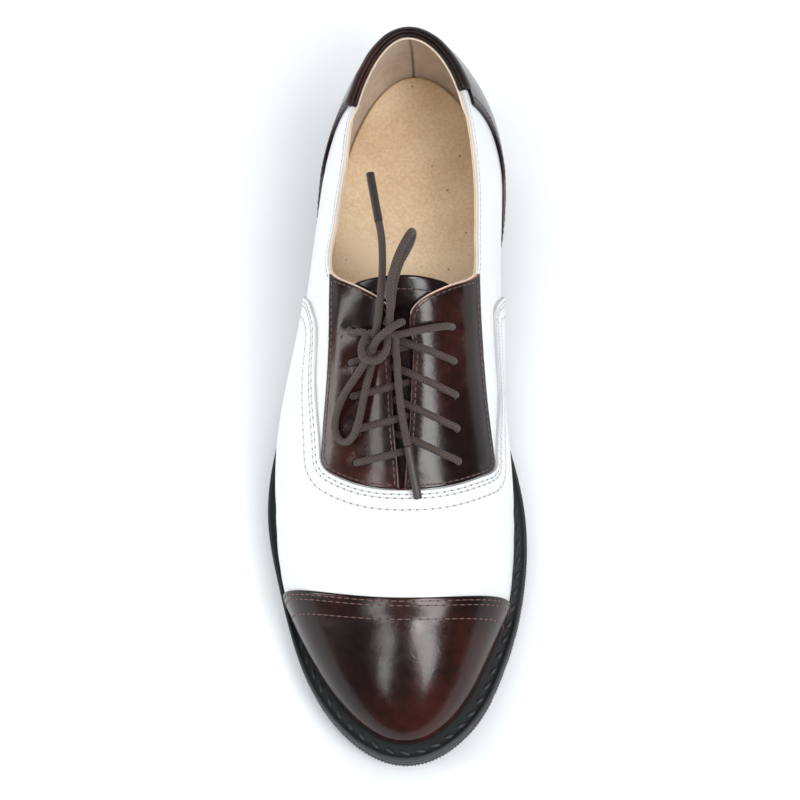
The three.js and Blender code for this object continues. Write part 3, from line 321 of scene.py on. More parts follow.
# at, gap: half of the throat over the ball's width
THROAT = np.array([
    (0.316, 0.010), (0.350, 0.018), (0.400, 0.033), (0.450, 0.040), (0.500, 0.043), (0.538, 0.048),
    (0.550, 0.085), (0.562, 0.142), (0.575, 0.205), (0.588, 0.262), (0.605, 0.305)])
# at, outer, inner: half widths of the facing panel
PANEL = np.array([
    (0.350, 0.344, 0.374), (0.400, 0.334, 0.352), (0.450, 0.320, 0.332), (0.500, 0.309, 0.318),
    (0.550, 0.305, 0.308), (0.620, 0.303, 0.301)])
# height over the instep's, at: seams down the sides
WING = np.array([
    (0.20, 0.660), (0.34, 0.642), (0.48, 0.622), (0.64, 0.598), (0.75, 0.573), (0.80, 0.545),
    (0.85, 0.500)])
COUNTER = np.array([
    (0.26, 0.672), (0.36, 0.706), (0.44, 0.752), (0.50, 0.792), (0.57, 0.826), (0.66, 0.849),
    (0.78, 0.858), (0.95, 0.856)])
THROAT_END, COLLAR_CORNER, PANEL_END = 0.316, 0.605, 0.606
PANEL_FRONT, PANEL_FRONT_CURVE, PANEL_FRONT_POWER, PANEL_FRONT_SIDE = 0.3155, 0.130, 2.4, 0.36
PANEL_CORNER, WING_CORNER = 4, 6  # radii
VAMP_MARGIN, VAMP_MARGIN_FROM, VAMP_MARGIN_TO = 0.052, 0.350, 0.490
CAP_AT, CAP_SWEEP, CAP_SIDE = 0.174, 0.102, 0.48
CORNER_DIP, CORNER_BLEND = (3.6, 0.9), 0.06
THROAT_X = -0.008 * UPPER_BALL

collar_height = curve(*COLLAR.T)
throat_gap = curve(*THROAT.T)
panel_outer, panel_inner = curve(PANEL[:, 0], PANEL[:, 1]), curve(PANEL[:, 0], PANEL[:, 2])
wing_at = curve(*WING.T)
counter_at = curve(*COUNTER.T)


def soft_max(a, b, radius):
    h = np.clip(radius - np.abs(a - b), 0, None) / radius
    return np.maximum(a, b) + h * h * radius / 4


def collar_drop(p):
    at = upper_share(p[:, 1])
    # The collar starts at the throat's end, which lies lower on the inner side
    dip = np.where(p[:, 0] > 0, *CORNER_DIP) * (1 - smooth((at - COLLAR_CORNER) / CORNER_BLEND))
    return p[:, 2] - collar_height(at) * BACK_HEIGHT + dip


def opening(p):
    at = upper_share(p[:, 1])
    gap = throat_gap(at) * UPPER_BALL - np.abs(p[:, 0] - THROAT_X)
    value = np.where(at > COLLAR_CORNER, collar_drop(p), gap)
    return np.where(at < THROAT_END, (at - THROAT_END) * UPPER_LENGTH, value)


def panel_width(p):
    at = upper_share(p[:, 1])
    return np.where(p[:, 0] > 0, panel_inner(at), panel_outer(at)) * UPPER_BALL


def panel_front(p):
    across = np.abs(p[:, 0]) / (PANEL_FRONT_SIDE * UPPER_BALL)
    bow = PANEL_FRONT_CURVE * UPPER_BALL * across**PANEL_FRONT_POWER
    return UPPER_TOE + PANEL_FRONT * UPPER_LENGTH + bow


def panel(p):
    beside = np.abs(p[:, 0]) - panel_width(p)
    return soft_max(beside, panel_front(p) - p[:, 1], PANEL_CORNER)


def cap(p):
    sweep = CAP_SWEEP * UPPER_BALL * (p[:, 0] / (CAP_SIDE * UPPER_BALL)) ** 2
    return p[:, 1] - (UPPER_TOE + CAP_AT * UPPER_LENGTH + sweep)


def wing(p):
    return UPPER_TOE + wing_at(p[:, 2] / LAST_HEIGHT) * UPPER_LENGTH - p[:, 1]


def quarter(p):
    grown = (upper_share(p[:, 1]) - VAMP_MARGIN_FROM) / (VAMP_MARGIN_TO - VAMP_MARGIN_FROM)
    margin = VAMP_MARGIN * UPPER_BALL * smooth(grown)
    beside = np.abs(p[:, 0]) - panel_width(p) - margin - CLEAR
    throat = soft_max(beside, panel_front(p) - CLEAR - p[:, 1], PANEL_CORNER)
    return -soft_max(-throat, -wing(p), WING_CORNER)


def counter(p):
    return UPPER_TOE + counter_at(p[:, 2] / LAST_HEIGHT) * UPPER_LENGTH - p[:, 1]


print("throat half gap at the top row:", round(float(throat_gap(0.5)) * UPPER_BALL, 1), "mm")

# %% [markdown]
# ## Leather as skins on the last
# A skin is a net of triangles on the last, with the outward direction at each corner.
# Cutting it along a pattern line gives a clean edge, and scoring it along lines beside
# the edge gives corners to round the edge over. A shell then lies between two
# distances from the last, which is how leather lies on a real one.

# %% Skins: make, score and cut
RIBS, LOW_STEPS, HIGH_STEPS = 170, 6, 62


def last_skin():
    ups = np.concatenate([
        np.linspace(0, LOW_SHARE, LOW_STEPS, endpoint=False),
        np.linspace(LOW_SHARE, 1, HIGH_STEPS + 1)])
    grid_turn, grid_up = np.meshgrid(np.arange(2 * RIBS) / (2 * RIBS), ups, indexing="ij")
    points = last_point(grid_turn, grid_up)
    normals = last_normal(grid_turn, grid_up)
    low = grid_up <= LOW_SHARE
    # Under the widest line the leather's direction turns level
    level = np.clip(normals[..., 2], 0, None) * grid_up / LOW_SHARE
    normals[..., 2] = np.where(low, level, normals[..., 2])
    normals[:, -1, 0] = 0
    ids = np.arange(points.shape[0] * points.shape[1]).reshape(points.shape[:2])
    # Both sides share the ridge
    ids[RIBS + 1:, -1] = ids[RIBS - 1:0:-1, -1]
    right = np.roll(ids, -1, axis=0)
    a, b, c, d = ids[:, :-1], right[:, :-1], right[:, 1:], ids[:, 1:]
    faces = np.concatenate([np.stack([a, b, c], -1), np.stack([a, c, d], -1)]).reshape(-1, 3)
    return tidy(points.reshape(-1, 3), unit(normals.reshape(-1, 3)), faces)


def tidy(points, normals, faces):
    faces = faces[(faces != np.roll(faces, 1, axis=1)).all(axis=1)]
    used, flat = np.unique(faces, return_inverse=True)
    return points[used], normals[used], flat.reshape(-1, 3)


def slide(points, normals, region):
    one = unit(np.cross([0.0, 0.0, 1.0], normals) + 1e-6)
    two = np.cross(normals, one)
    step = 0.05
    for _ in range(2):
        here = region(points)
        slopes = [(region(points + d * step) - here) / step for d in (one, two)]
        size = np.clip(slopes[0] ** 2 + slopes[1] ** 2, 1e-9, None)
        points = points - sum(d * (here * s / size)[:, None] for d, s in zip((one, two), slopes))
    return points


def edges_of(faces):
    return np.concatenate([faces[:, [0, 1]], faces[:, [1, 2]], faces[:, [2, 0]]])


def rim(faces):
    pairs = edges_of(faces)
    count = faces.max() + 1
    return pairs[~np.isin(pairs[:, 1] * count + pairs[:, 0], pairs[:, 0] * count + pairs[:, 1])]


# A corner within this share of its shortest edge, or this many mm, moves onto the line
SNAP_SHARE, SNAP_MM = 0.3, 1.0
SNAP_TRAVEL, SNAP_LEFT = 1.2, 0.03  # farthest way over that reach, and mm still missing
HALVINGS = 12


def score(skin, region, keep_inside=False):
    points, normals, faces = skin
    on_rim = np.zeros(len(points), bool)
    on_rim[rim(faces)] = True
    value = region(points)
    pairs = edges_of(faces)
    length = np.linalg.norm(points[pairs[:, 0]] - points[pairs[:, 1]], axis=1)
    reach = np.full(len(points), SNAP_MM)
    for k in (0, 1):
        np.minimum.at(reach, pairs[:, k], SNAP_SHARE * length)
    near = np.flatnonzero((np.abs(value) < reach) & (value != 0) & ~on_rim)
    moved = slide(points[near], normals[near], region)
    travel = np.linalg.norm(moved - points[near], axis=1)
    good = (travel < SNAP_TRAVEL * reach[near]) & (np.abs(region(moved)) < SNAP_LEFT)
    points = points.copy()
    points[near[good]] = moved[good]
    value[near[good]] = 0
    sign = np.sign(value).astype(int)
    # New corners where an edge crosses the line
    pairs = np.unique(np.sort(pairs, axis=1), axis=0)
    pairs = pairs[sign[pairs[:, 0]] * sign[pairs[:, 1]] < 0]
    a, b = pairs[:, 0], pairs[:, 1]
    low, high = np.zeros(len(pairs)), np.ones(len(pairs))
    for _ in range(HALVINGS):
        middle = (low + high) / 2
        same = region(points[a] + (points[b] - points[a]) * middle[:, None]) * value[a] > 0
        low, high = np.where(same, middle, low), np.where(same, high, middle)
    share = ((low + high) / 2)[:, None]
    first_new = len(points)
    new_id = {(p, q): first_new + k for k, (p, q) in enumerate(pairs.tolist())}
    points = np.vstack([points, points[a] + (points[b] - points[a]) * share])
    normals = np.vstack([normals, unit(normals[a] + (normals[b] - normals[a]) * share)])
    signs = sign[faces]
    crossed = (signs.min(axis=1) < 0) & (signs.max(axis=1) > 0)
    whole, signs = faces[~crossed], signs[~crossed]
    centre = points[whole].mean(axis=1)
    whole_in = np.where(signs.any(axis=1), signs.min(axis=1) < 0, region(centre) < 0)
    inside, outside = [whole[whole_in]], [whole[~whole_in]]
    parts = {-1: [], 1: []}
    for face in faces[crossed].tolist():
        rings = {-1: [], 1: []}
        for p, q in zip(face, face[1:] + face[:1]):
            for side in (-1, 1):
                if sign[p] * side >= 0:
                    rings[side].append(p)
            if sign[p] * sign[q] < 0:
                between = new_id[min(p, q), max(p, q)]
                rings[-1].append(between)
                rings[1].append(between)
        for side in (-1, 1):
            ring = rings[side]
            for k in range(2, len(ring)):
                parts[side].append((ring[0], ring[k - 1], ring[k]))
    inside.append(np.array(parts[-1], int).reshape(-1, 3))
    outside.append(np.array(parts[1], int).reshape(-1, 3))
    kept = inside if keep_inside else inside + outside
    return tidy(points, normals, np.concatenate(kept))


def cut(skin, *regions):
    for region in regions:
        skin = score(skin, region, keep_inside=True)
    return skin


def rounded(skin, regions, lines=(0.12, 0.3, 0.55, 1.1)):
    for line in lines:
        for region in regions:
            skin = score(skin, lambda p: region(p) + line)
    return skin


def edge_distance(points, regions):
    return np.clip(-np.max([region(points) for region in regions], axis=0), 0, None)


def shell(skin, low, high):
    points, normals, faces = skin
    count = len(points)
    low, high = (np.broadcast_to(d, count)[:, None] for d in (low, high))
    edge = rim(faces)
    a, b = edge[:, 0], edge[:, 1]
    walls = np.concatenate([
        np.stack([b, a, a + count], 1), np.stack([b, a + count, b + count], 1)])
    body = np.vstack([points + normals * high, points + normals * low])
    return body, np.concatenate([faces, faces[:, ::-1] + count, walls])


def over_edge(distance, thickness, radius):
    t = np.clip(1 - distance / radius, 0, 1)
    return thickness - radius * (1 - np.sqrt(1 - t * t))


whole_last = last_skin()
print("last skin:", len(whole_last[2]), "triangles")

# %% [markdown]
# ## From numbers to pieces
# One helper turns a body into a Blender mesh in the frame's metres. It keeps values
# at the corners, such as the distance to the leather's cut edge, so that a material can
# darken an edge, says which body a piece rides on, and hides the model's parts that it
# stands in for. Another does this for leather, whose two faces carry the same values.

# %% Make a piece
SHARP_FROM = math.radians(65)
SOLE_STEPS = 32
steps = (1 - np.cos(np.pi * np.arange(SOLE_STEPS + 1) / SOLE_STEPS)) / 2
SHIFT = -(sole_half["inner"](steps).max() - sole_half["outer"](steps).max()) * SOLE_BALL / 2


def to_row(points):
    return (np.asarray(points, float) + [SHIFT, 0, 0]) / 1000


def piece(name, body, material, replaces=(), values=None, uv=None):
    points, faces = body
    mesh = bpy.data.meshes.new(name)
    mesh.from_pydata(to_row(points).tolist(), [], np.asarray(faces).tolist())
    for label, numbers in (values or {}).items():
        marked = mesh.attributes.new(label, "FLOAT", "POINT")
        marked.data.foreach_set("value", np.asarray(numbers, float))
    if uv is not None:
        loops = np.zeros(len(mesh.loops), int)
        mesh.loops.foreach_get("vertex_index", loops)
        mesh.uv_layers.new(name="cord").data.foreach_set("uv", uv[loops].ravel())
    mesh.polygons.foreach_set("use_smooth", [True] * len(mesh.polygons))
    mesh.set_sharp_from_angle(angle=SHARP_FROM)
    mesh.materials.append(material)
    made = bpy.data.objects.new(name, mesh)
    bpy.context.scene.collection.objects.link(made)
    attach(made, "root")
    if replaces:
        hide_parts(*replaces)
    return made


def leather(name, skin, low, high, material, slot, replaces=(), **marks):
    values = {label: np.tile(mark, 2) for label, mark in marks.items()}
    return piece(name, shell(skin, low, high), material, replaces, values)


print("the last's middle lies", round(float(SHIFT), 3), "mm to the outer side of the frame's")

# %% [markdown]
# ## Lace cord
# The lace is a round cotton braid, waxed, 2.7 mm thick. Sixteen strands cross over
# and under each other, which gives rows of small slanting lozenges. The braid is drawn
# from two coordinates: how far along the cord, and how far round it.

# %% Braided cotton material
LACE = 2.7
BRAID_ROUND = 6                   # lozenges round the cord, coarser than real so they show
BRAID_PITCH = 1.2                 # millimetres along the cord for one lozenge


def waxed_braid():
    made, tree = new_material("waxed_cotton_braid")
    place = node(tree, "ShaderNodeUVMap", uv_map="cord").outputs[0]
    xyz = node(tree, "ShaderNodeSeparateXYZ", {0: place}).outputs
    along = worked_out(tree, "MULTIPLY", xyz[0], 1 / BRAID_PITCH)
    around = worked_out(tree, "MULTIPLY", xyz[1], BRAID_ROUND)
    slants = []
    for operation in ("ADD", "SUBTRACT"):
        turn = worked_out(tree, "MULTIPLY", worked_out(tree, operation, along, around), math.pi)
        slants.append(worked_out(tree, "ABSOLUTE", worked_out(tree, "SINE", turn)))
    height = worked_out(tree, "MULTIPLY", *slants)
    # The braid's colour darkens into the grooves between its lozenges as painted shade, and a fine
    # noise varies its tone.
    groove_shade_and_tone = worked_out(tree, "MULTIPLY", height, noise(tree, 900, 3))
    surface(tree, {
        "Base Color": ramp(tree, groove_shade_and_tone, (0, "#2A1F1C"), (0.5, "#54443D")), "Roughness": 0.7,
        "Sheen Weight": 0.1, "Normal": bump(tree, height, 0.6, 0.00035)})
    return made


cord_material = waxed_braid()


def smooth_path(points, step=0.4):
    points = np.asarray(points, float)
    reach = reach_along(points)
    axes = [curve(reach, points[:, k]) for k in range(3)]
    at = np.linspace(0, reach[-1], int(reach[-1] / step) + 2)
    return np.stack([axis(at) for axis in axes], 1)


def tube(path, diameter, sides=20, taper=0.35):
    path = np.asarray(path, float)
    tangent = unit(np.gradient(path, axis=0))
    side = unit(np.cross(tangent[0], [0.31, 0.2, 0.93]))
    length = reach_along(path)
    # The ends are rounded over: three small rings close each of them
    shrink = np.clip(np.minimum(length, length[-1] - length) / (taper * diameter), 0, 1)
    radius = diameter / 2 * np.sqrt(np.clip(1 - (1 - shrink) ** 2, 0.02, 1))
    rings, uv = [], []
    for i, (centre, along) in enumerate(zip(path, tangent)):
        side = unit(side - along * (side @ along))
        other = np.cross(along, side)
        turn = 2 * np.pi * np.arange(sides + 1) / sides
        away = np.cos(turn)[:, None] * side + np.sin(turn)[:, None] * other
        rings.append(centre + radius[i] * away)
        uv.append(np.stack([np.full(sides + 1, length[i]), np.arange(sides + 1) / sides], 1))
    points, uv = np.concatenate(rings), np.concatenate(uv)
    i, j = np.meshgrid(np.arange(len(path) - 1), np.arange(sides), indexing="ij")
    a = (i * (sides + 1) + j).ravel()
    b = a + sides + 1
    faces = np.concatenate([np.stack([a, a + 1, b + 1], 1), np.stack([a, b + 1, b], 1)])
    row = np.arange(sides)
    ends = [np.stack([np.full(sides, len(points)), row + 1, row], 1)]
    top = (len(path) - 1) * (sides + 1)
    ends.append(np.stack([np.full(sides, len(points) + 1), top + row, top + row + 1], 1))
    points = np.vstack([points, path[0], path[-1]])
    uv = np.vstack([uv, uv[0], uv[-1]])
    return (points, np.concatenate([faces, *ends])), uv


def lace(name, path, stands_for=(), sides=16):
    body, uv = tube(path, LACE, sides)
    return piece(name, body, cord_material, stands_for, uv=uv)


# %% [markdown]
# ## The four free cords of the bow
# Two ends and two loops leave the knot. Their routes are the model's own, so each lies
# where its solid lies. A waxed braid this short is stiff enough to stand a little way
# over the opening, as the photograph shows.

# %% Routes, in millimetres from the last's middle
ROUTES = {
    "lace_end_upper": [
        (-11.0, 0.6, 88.8), (-9.6, 2.8, 90.2), (-8.9, 5.4, 91.8), (-8.3, 9.5, 93.4),
        (-7.7, 16.4, 95.4), (-7.3, 22.9, 96.6), (-7.3, 29.2, 97.2), (-7.8, 36.5, 97.4),
        (-8.9, 42.5, 97.2)],
    "lace_end_lower": [
        (-5.4, 1.6, 89.4), (-3.0, 1.2, 89.4), (-2.5, -1.6, 87.6), (-2.1, -6.4, 84.9),
        (-1.8, -11.7, 82.0), (-1.3, -17.0, 79.0), (-0.7, -22.3, 75.9), (0.3, -27.7, 72.9),
        (1.7, -34.3, 69.6)],
    "lace_loop_upper": [
        (-4.6, 3.2, 91.2), (-4.3, 7.2, 94.6), (-4.4, 12.6, 98.4), (-3.8, 18.1, 102.0),
        (-2.2, 23.5, 104.6), (0.3, 29.6, 105.6), (2.3, 33.9, 104.6), (3.4, 36.7, 101.0),
        (3.5, 36.5, 97.2), (2.0, 33.0, 95.4), (-0.5, 28.3, 94.6), (-2.4, 22.7, 94.0),
        (-3.6, 15.3, 93.4), (-4.4, 9.2, 92.0), (-6.2, 4.4, 90.0)],
    "lace_loop_lower": [
        (-10.4, -1.8, 87.8), (-12.4, -5.4, 86.6), (-14.1, -8.2, 84.6), (-16.3, -10.6, 81.6),
        (-19.1, -13.5, 78.2), (-21.7, -16.3, 74.2), (-23.8, -19.5, 69.6), (-25.0, -23.2, 66.4),
        (-24.9, -26.6, 64.6), (-23.8, -29.1, 64.2), (-22.0, -30.6, 64.8), (-19.5, -30.8, 67.4),
        (-17.8, -29.5, 70.2), (-16.4, -26.8, 72.9), (-15.2, -22.5, 75.1), (-14.1, -17.8, 77.5),
        (-12.9, -13.2, 79.8), (-11.5, -8.6, 82.4), (-9.8, -3.4, 85.8)],
}
AGLET, AGLET_LENGTH = 3.1, 19


def shrunk_sleeve():
    made, tree = new_material("heat_shrunk_sleeve")
    surface(tree, {
        "Base Color": colour("#322A28"), "Roughness": 0.34, "IOR": 1.5,
        "Normal": bump(tree, noise(tree, 400, 2), 0.3, 0.0002)})
    return made


sleeve_material = shrunk_sleeve()
for name, route in ROUTES.items():
    path = smooth_path(route)
    cord_piece = lace(name + "_braid", path, [name], 20)
    if name.startswith("lace_end"):
        end = np.array(route[-1])
        along = unit(end - np.array(route[-2]))
        straight = end + along * np.linspace(-0.6, AGLET_LENGTH + CLEAR, 60)[:, None]
        body, uv = tube(straight, AGLET, taper=0.12)
        sleeve = name.replace("lace_end", "aglet")
        piece(
            sleeve + "_sleeve", body, sleeve_material, [sleeve], uv=uv)
    to_row(path[0]).tolist()
    to_row(path).tolist()

# %% [markdown]
# ## Leathers
# The burgundy leather is brush-off calf: a dark, glossy top coat over a red-brown
# base, rubbed through in soft clouds while it is polished. The white is a smooth,
# pigmented calf with a low sheen. Each has a fine grain of about 0.7 mm, far smaller
# than the clouds, and a cut edge that the finish doesn't cover.

# %% Burgundy brush-off leather
GRAIN_MM = 0.7
CLOUD_MM = 34


def fine_grain(tree, place, strength):
    cells = node(tree, "ShaderNodeTexVoronoi", {"Vector": place, "Scale": 1000 / GRAIN_MM},
                 feature="SMOOTH_F1").outputs["Distance"]
    return bump(tree, cells, strength, 0.0002)


def brush_off_calf(name, smoothest, roughest, coat):
    made, tree = new_material(name)
    place = object_place(tree)
    clouds = noise(tree, 1000 / CLOUD_MM, 2.5, Vector=place, Roughness=0.45)
    mottle = noise(tree, 260, 4, Vector=place)
    tint = ramp(tree, worked_out(tree, "MULTIPLY_ADD", mottle, 0.22, clouds),
                (0.50, "#130807"), (0.78, "#34140F"), (0.63, "#1E0C0A"))
    cut_edge = mapped(tree, attribute(tree, "edge"), (0.1, 0.55), (1.0, 0.0))
    tint = mixed(tree, cut_edge, tint, colour("#1A0C0A"))
    # A salmon line along the throat's cut edge: the raw leather's colour, and in part a painted
    # highlight where it is stronger.
    tint = mixed(tree, attribute(tree, "bare"), tint, colour("#93554A"))
    swell = noise(tree, 150, 2, Vector=place)
    surface(tree, {
        "Base Color": tint, "Roughness": mapped(tree, mottle, (0, 1), (smoothest, roughest)),
        "IOR": 1.34, "Coat Weight": coat, "Coat Roughness": 0.12,
        "Normal": bump(tree, swell, 0.2, 0.0005, Normal=fine_grain(tree, place, 0.10))})
    return made


burgundy = brush_off_calf("burgundy_brush_off_calf", 0.14, 0.29, 0.06)
soft_burgundy = brush_off_calf("burgundy_soft_nappa", 0.36, 0.52, 0.0)

# %% White smooth leather
def pigmented_calf():
    made, tree = new_material("white_pigmented_calf")
    place = object_place(tree)
    clouds = noise(tree, 40, 3, Vector=place)
    tint = mixed(tree, clouds, colour("#DDE0E3"), colour("#E5E6E7"))
    cut_edge = mapped(tree, attribute(tree, "edge"), (0.05, 0.35), (0.7, 0.0))
    surface(tree, {
        "Base Color": mixed(tree, cut_edge, tint, colour("#9C9B9C")), "Roughness": 0.4,
        "IOR": 1.48, "Coat Weight": 0.12, "Coat Roughness": 0.25,
        "Normal": fine_grain(tree, place, 0.12)})
    return made


white = pigmented_calf()

# %% [markdown]
# ## Lining and sock
# The lining is a grey-beige split leather with a brushed nap, so it shows no gloss.
# The sock is pigskin: tan and matt, with a fine grain and deeper pores that show as
# few dark specks, some 8 mm apart.

# %% Lining and pigskin materials
PORE_MM = 8


def split_lining():
    made, tree = new_material("grey_beige_split_lining")
    nap = noise(tree, 220, 5, Vector=object_place(tree))
    tint = mixed(tree, nap, colour("#AF9C8A"), colour("#E2D2C0"))
    surface(tree, {
        "Base Color": mixed(tree, attribute(tree, "seam"), tint, colour("#5A4A3E")),
        "Roughness": 0.85, "Sheen Weight": 0.3, "Normal": bump(tree, nap, 0.4, 0.0004)})
    return made


def pigskin():
    made, tree = new_material("tan_pigskin")
    place = object_place(tree)
    speck = noise(tree, 900, 3, Vector=place)
    hide = worked_out(tree, "MULTIPLY_ADD", speck, 0.65, noise(tree, 30, 4, Vector=place))
    tint = ramp(tree, hide, (0.6, "#DFBD97"), (1.0, "#F8E1BF"))
    cells = node(tree, "ShaderNodeTexVoronoi", {"Vector": place, "Scale": 1000 / PORE_MM})
    pore = mapped(tree, cells.outputs["Distance"], (0.03, 0.08), (0.8, 0.0))
    surface(tree, {
        "Base Color": mixed(tree, pore, tint, colour("#7A5838")), "Roughness": 0.75,
        "Normal": bump(tree, speck, 0.3, 0.0004)})
    return made


lining_material, sock_material = split_lining(), pigskin()

# %% Plain finishes: rubber, edges and threads
def plain(name, hex_value, roughness, speck_scale, speck):
    made, tree = new_material(name)
    specks = noise(tree, speck_scale, 4, Vector=object_place(tree))
    base = colour(hex_value)
    light = tuple(min(1, c * (1 + speck)) for c in base[:3]) + (1.0,)
    surface(tree, {
        "Base Color": mixed(tree, specks, base, light), "Roughness": roughness,
        "Normal": bump(tree, specks, 0.3, 0.0002)})
    return made


rubber = plain("black_moulded_rubber", "#1D2021", 0.6, 700, 0.5)
cream_edge = plain("cream_folded_edge", "#D6C4B0", 0.7, 600, 0.05)
white_thread = plain("white_waxed_thread", "#C2C3C5", 0.55, 1500, 0.1)
brown_thread = plain("brown_waxed_thread", "#6B5049", 0.5, 1500, 0.3)
dark_thread = plain("dark_waxed_thread", "#4F3B36", 0.5, 1500, 0.3)
# Needle holes are small dark grains: painted shade in each hole, near black on the burgundy and
# grey on the white.
needle_shade_black = plain("needle_hole_painted_shade", "#0E0807", 0.9, 900, 0.2)
needle_shade_grey = plain("needle_hole_shadow", "#7A7A7E", 0.9, 900, 0.2)

# %% [markdown]
# ## Lacing holes
# Five holes a side are punched through facing and quarter, with no metal ring. Each
# lies where the model has it: at a point of the plan, laid onto the last.

# %% Lay a point of the plan onto the last
EYELETS, EYELET_HOLE, EYELET_OUT, EYELET_FIRST, EYELET_PITCH = 5, 3.5, 18.3, 8.5, 11.1
EYELET_SHIFT, EYELET_DRIFT, EYELET_STAGGER = 0.7, 0.55, 1.2


def on_last(x, y, over=0.0):
    x, y, over = (np.atleast_1d(np.asarray(v, float)) for v in (x, y, over))
    target = y.copy()
    for _ in range(4):
        at = np.clip(upper_share(target), 0.001, 0.999)
        along = np.arccos(1 - 2 * at) / np.pi
        turn = np.where(x > 0, along / 2, 1 - along / 2)
        low, high = np.full(len(x), LOW_SHARE), np.ones(len(x))
        for _ in range(30):
            up = (low + high) / 2
            wide = np.abs(last_point(turn, up)[:, 0]) > np.abs(x)
            low, high = np.where(wide, up, low), np.where(wide, high, up)
        spot = last_point(turn, up)
        target = target + y - spot[:, 1]
    normal = last_normal(turn, up)
    return spot + normal * over[:, None], normal


# across runs from -1 at the outer holes to 1 at the inner ones
def lace_x(row, across):
    return THROAT_X + EYELET_SHIFT + EYELET_DRIFT * (row - (EYELETS - 1) / 2) + across * EYELET_OUT


def lace_y(row, across):
    return EYELET_FIRST - row * EYELET_PITCH - EYELET_STAGGER * (1 - across) / 2


hole_row, hole_side = np.tile(np.arange(EYELETS), 2), np.repeat([-1, 1], EYELETS)
hole_at, _ = on_last(lace_x(hole_row, hole_side), lace_y(hole_row, hole_side))


def from_hole(p):
    return np.linalg.norm(p[:, None] - hole_at[None], axis=2).min(axis=1)


def wide_holes(p):
    return EYELET_HOLE / 2 + 0.5 - from_hole(p)


def tight_holes(p):
    return EYELET_HOLE / 2 - 0.3 - from_hole(p)


# A hole is smaller than the net's triangles, so lines through its middle make finer ones
SPOKES, SPOKE_LENGTH, FAR_OFF = 5, 3.6, 9.0


def spoke(angle):
    def region(p):
        away = p[:, None, :2] - hole_at[None, :, :2]
        reach = np.linalg.norm(away, axis=2)
        nearest = reach.argmin(axis=1)
        across = away[np.arange(len(p)), nearest] @ [math.cos(angle), math.sin(angle)]
        return np.where(reach.min(axis=1) < SPOKE_LENGTH, across, FAR_OFF)
    return region


punched_last = whole_last
for k in range(SPOKES):
    punched_last = score(punched_last, spoke(math.pi * k / SPOKES))
print("first hole at", hole_at[0].round(1).tolist(), "and", len(punched_last[2]), "triangles")

# %% [markdown]
# ## Quarters and lining
# The white quarters and their lining are one wall: 1.2 mm of calf outside and 0.7 mm of
# lining inside. The calf's edge is rounded where it was skived and folded. Along the
# collar's outer side the wall leans in a little, because the leather was pulled tight
# there. Down the throat the wall stops short of the facings, which hide it.

# %% Quarters, lining and the lining's seam
CALF, LINING_GAP = 1.2, 0.02
THROAT_BACK, BACK_BEFORE, BACK_BLEND = 1.2, 0.012, 0.02
TOPLINE_LEAN, TOPLINE_BAND, LEAN_FROM, LEAN_TO, LEAN_BLEND = 1.5, 12.0, 0.61, 0.76, 0.08


def wall_line(p):
    in_throat = smooth((COLLAR_CORNER - BACK_BEFORE - upper_share(p[:, 1])) / BACK_BLEND)
    return opening(p) + THROAT_BACK * in_throat


def lean(p):
    share = upper_share(p[:, 1])
    along = smooth((share - LEAN_FROM) / LEAN_BLEND) * (1 - smooth((share - LEAN_TO) / LEAN_BLEND))
    return TOPLINE_LEAN * along * (p[:, 0] < 0) * (1 - smooth(-collar_drop(p) / TOPLINE_BAND))


quarter_skin = cut(punched_last, wall_line, wide_holes)
fine_quarter = rounded(quarter_skin, [wall_line], (0.15, 0.4, 0.8))
distance = edge_distance(fine_quarter[0], [wall_line])
leaning = lean(fine_quarter[0])
top = over_edge(distance, 0, 0.5) - leaning
leather("quarters_leather", fine_quarter, -CALF - leaning, top, white, "white_leather",
        ["upper"], edge=distance)

SEAM_BEHIND, SEAM_TOP, SEAM_HALF_WIDTH = 0.8, 76, 0.5
lining_at = quarter_skin[0]
leaning = lean(lining_at)
at_heel = (upper_share(lining_at[:, 1]) > SEAM_BEHIND) & (lining_at[:, 2] < SEAM_TOP)
seam_mark = np.where(at_heel, np.exp(-(np.abs(lining_at[:, 0]) / SEAM_HALF_WIDTH) ** 2), 0)
leather("lining_leather", quarter_skin, -WALL - leaning, -CALF - LINING_GAP - leaning,
        lining_material, "tan_pigskin", seam=seam_mark)
print("quarters:", len(fine_quarter[2]), "triangles on the outside")

# %% [markdown]
# ## Vamp
# The vamp lies over the quarters with a clean U-shaped edge round the facings. It is
# a step of 1.2 mm with a rounded edge, and a few soft creases lie across it where the
# foot bends, a little deeper at the sides than on the top.

# %% Vamp with its creases
VAMP, CAP_LAP = 1.2, 4.0
CREASE_SIDE = 40                  # half of the width that a crease bends over
# middle y, outer end y, inner end y, depth, half width
CREASES = np.array([
    (-62.0, -54.0, -52.0, 0.10, 2.6), (-54.0, -45.0, -43.0, 0.14, 3.0),
    (-72.0, -66.0, -65.0, 0.07, 2.4)])


def creases(p):
    total = np.zeros(len(p))
    side = np.clip(np.abs(p[:, 0]) / CREASE_SIDE, 0, 1.2)
    for middle, outer, inner, depth, width in CREASES:
        end = np.where(p[:, 0] > 0, inner, outer)
        line = middle + (end - middle) * side**1.5
        total -= depth * (0.35 + side) * np.exp(-((p[:, 1] - line) / width) ** 2)
    return total


vamp_edge = lambda p: -quarter(p)
vamp_skin = rounded(cut(whole_last, vamp_edge, lambda p: -cap(p) - CAP_LAP), [vamp_edge])
distance = edge_distance(vamp_skin[0], [vamp_edge])
top = over_edge(distance, VAMP, 0.5) + creases(vamp_skin[0]) * smooth(distance / 6)
leather("vamp_leather", vamp_skin, LINING_GAP, top, white, "white_leather", edge=distance)
print("vamp:", len(vamp_skin[2]), "triangles on the outside")

# %% [markdown]
# ## Toe cap
# The cap is lasted over the vamp and sewn through it along a straight edge. Near that
# edge it rides over the vamp, so it stands proud there and dies down to the toe.

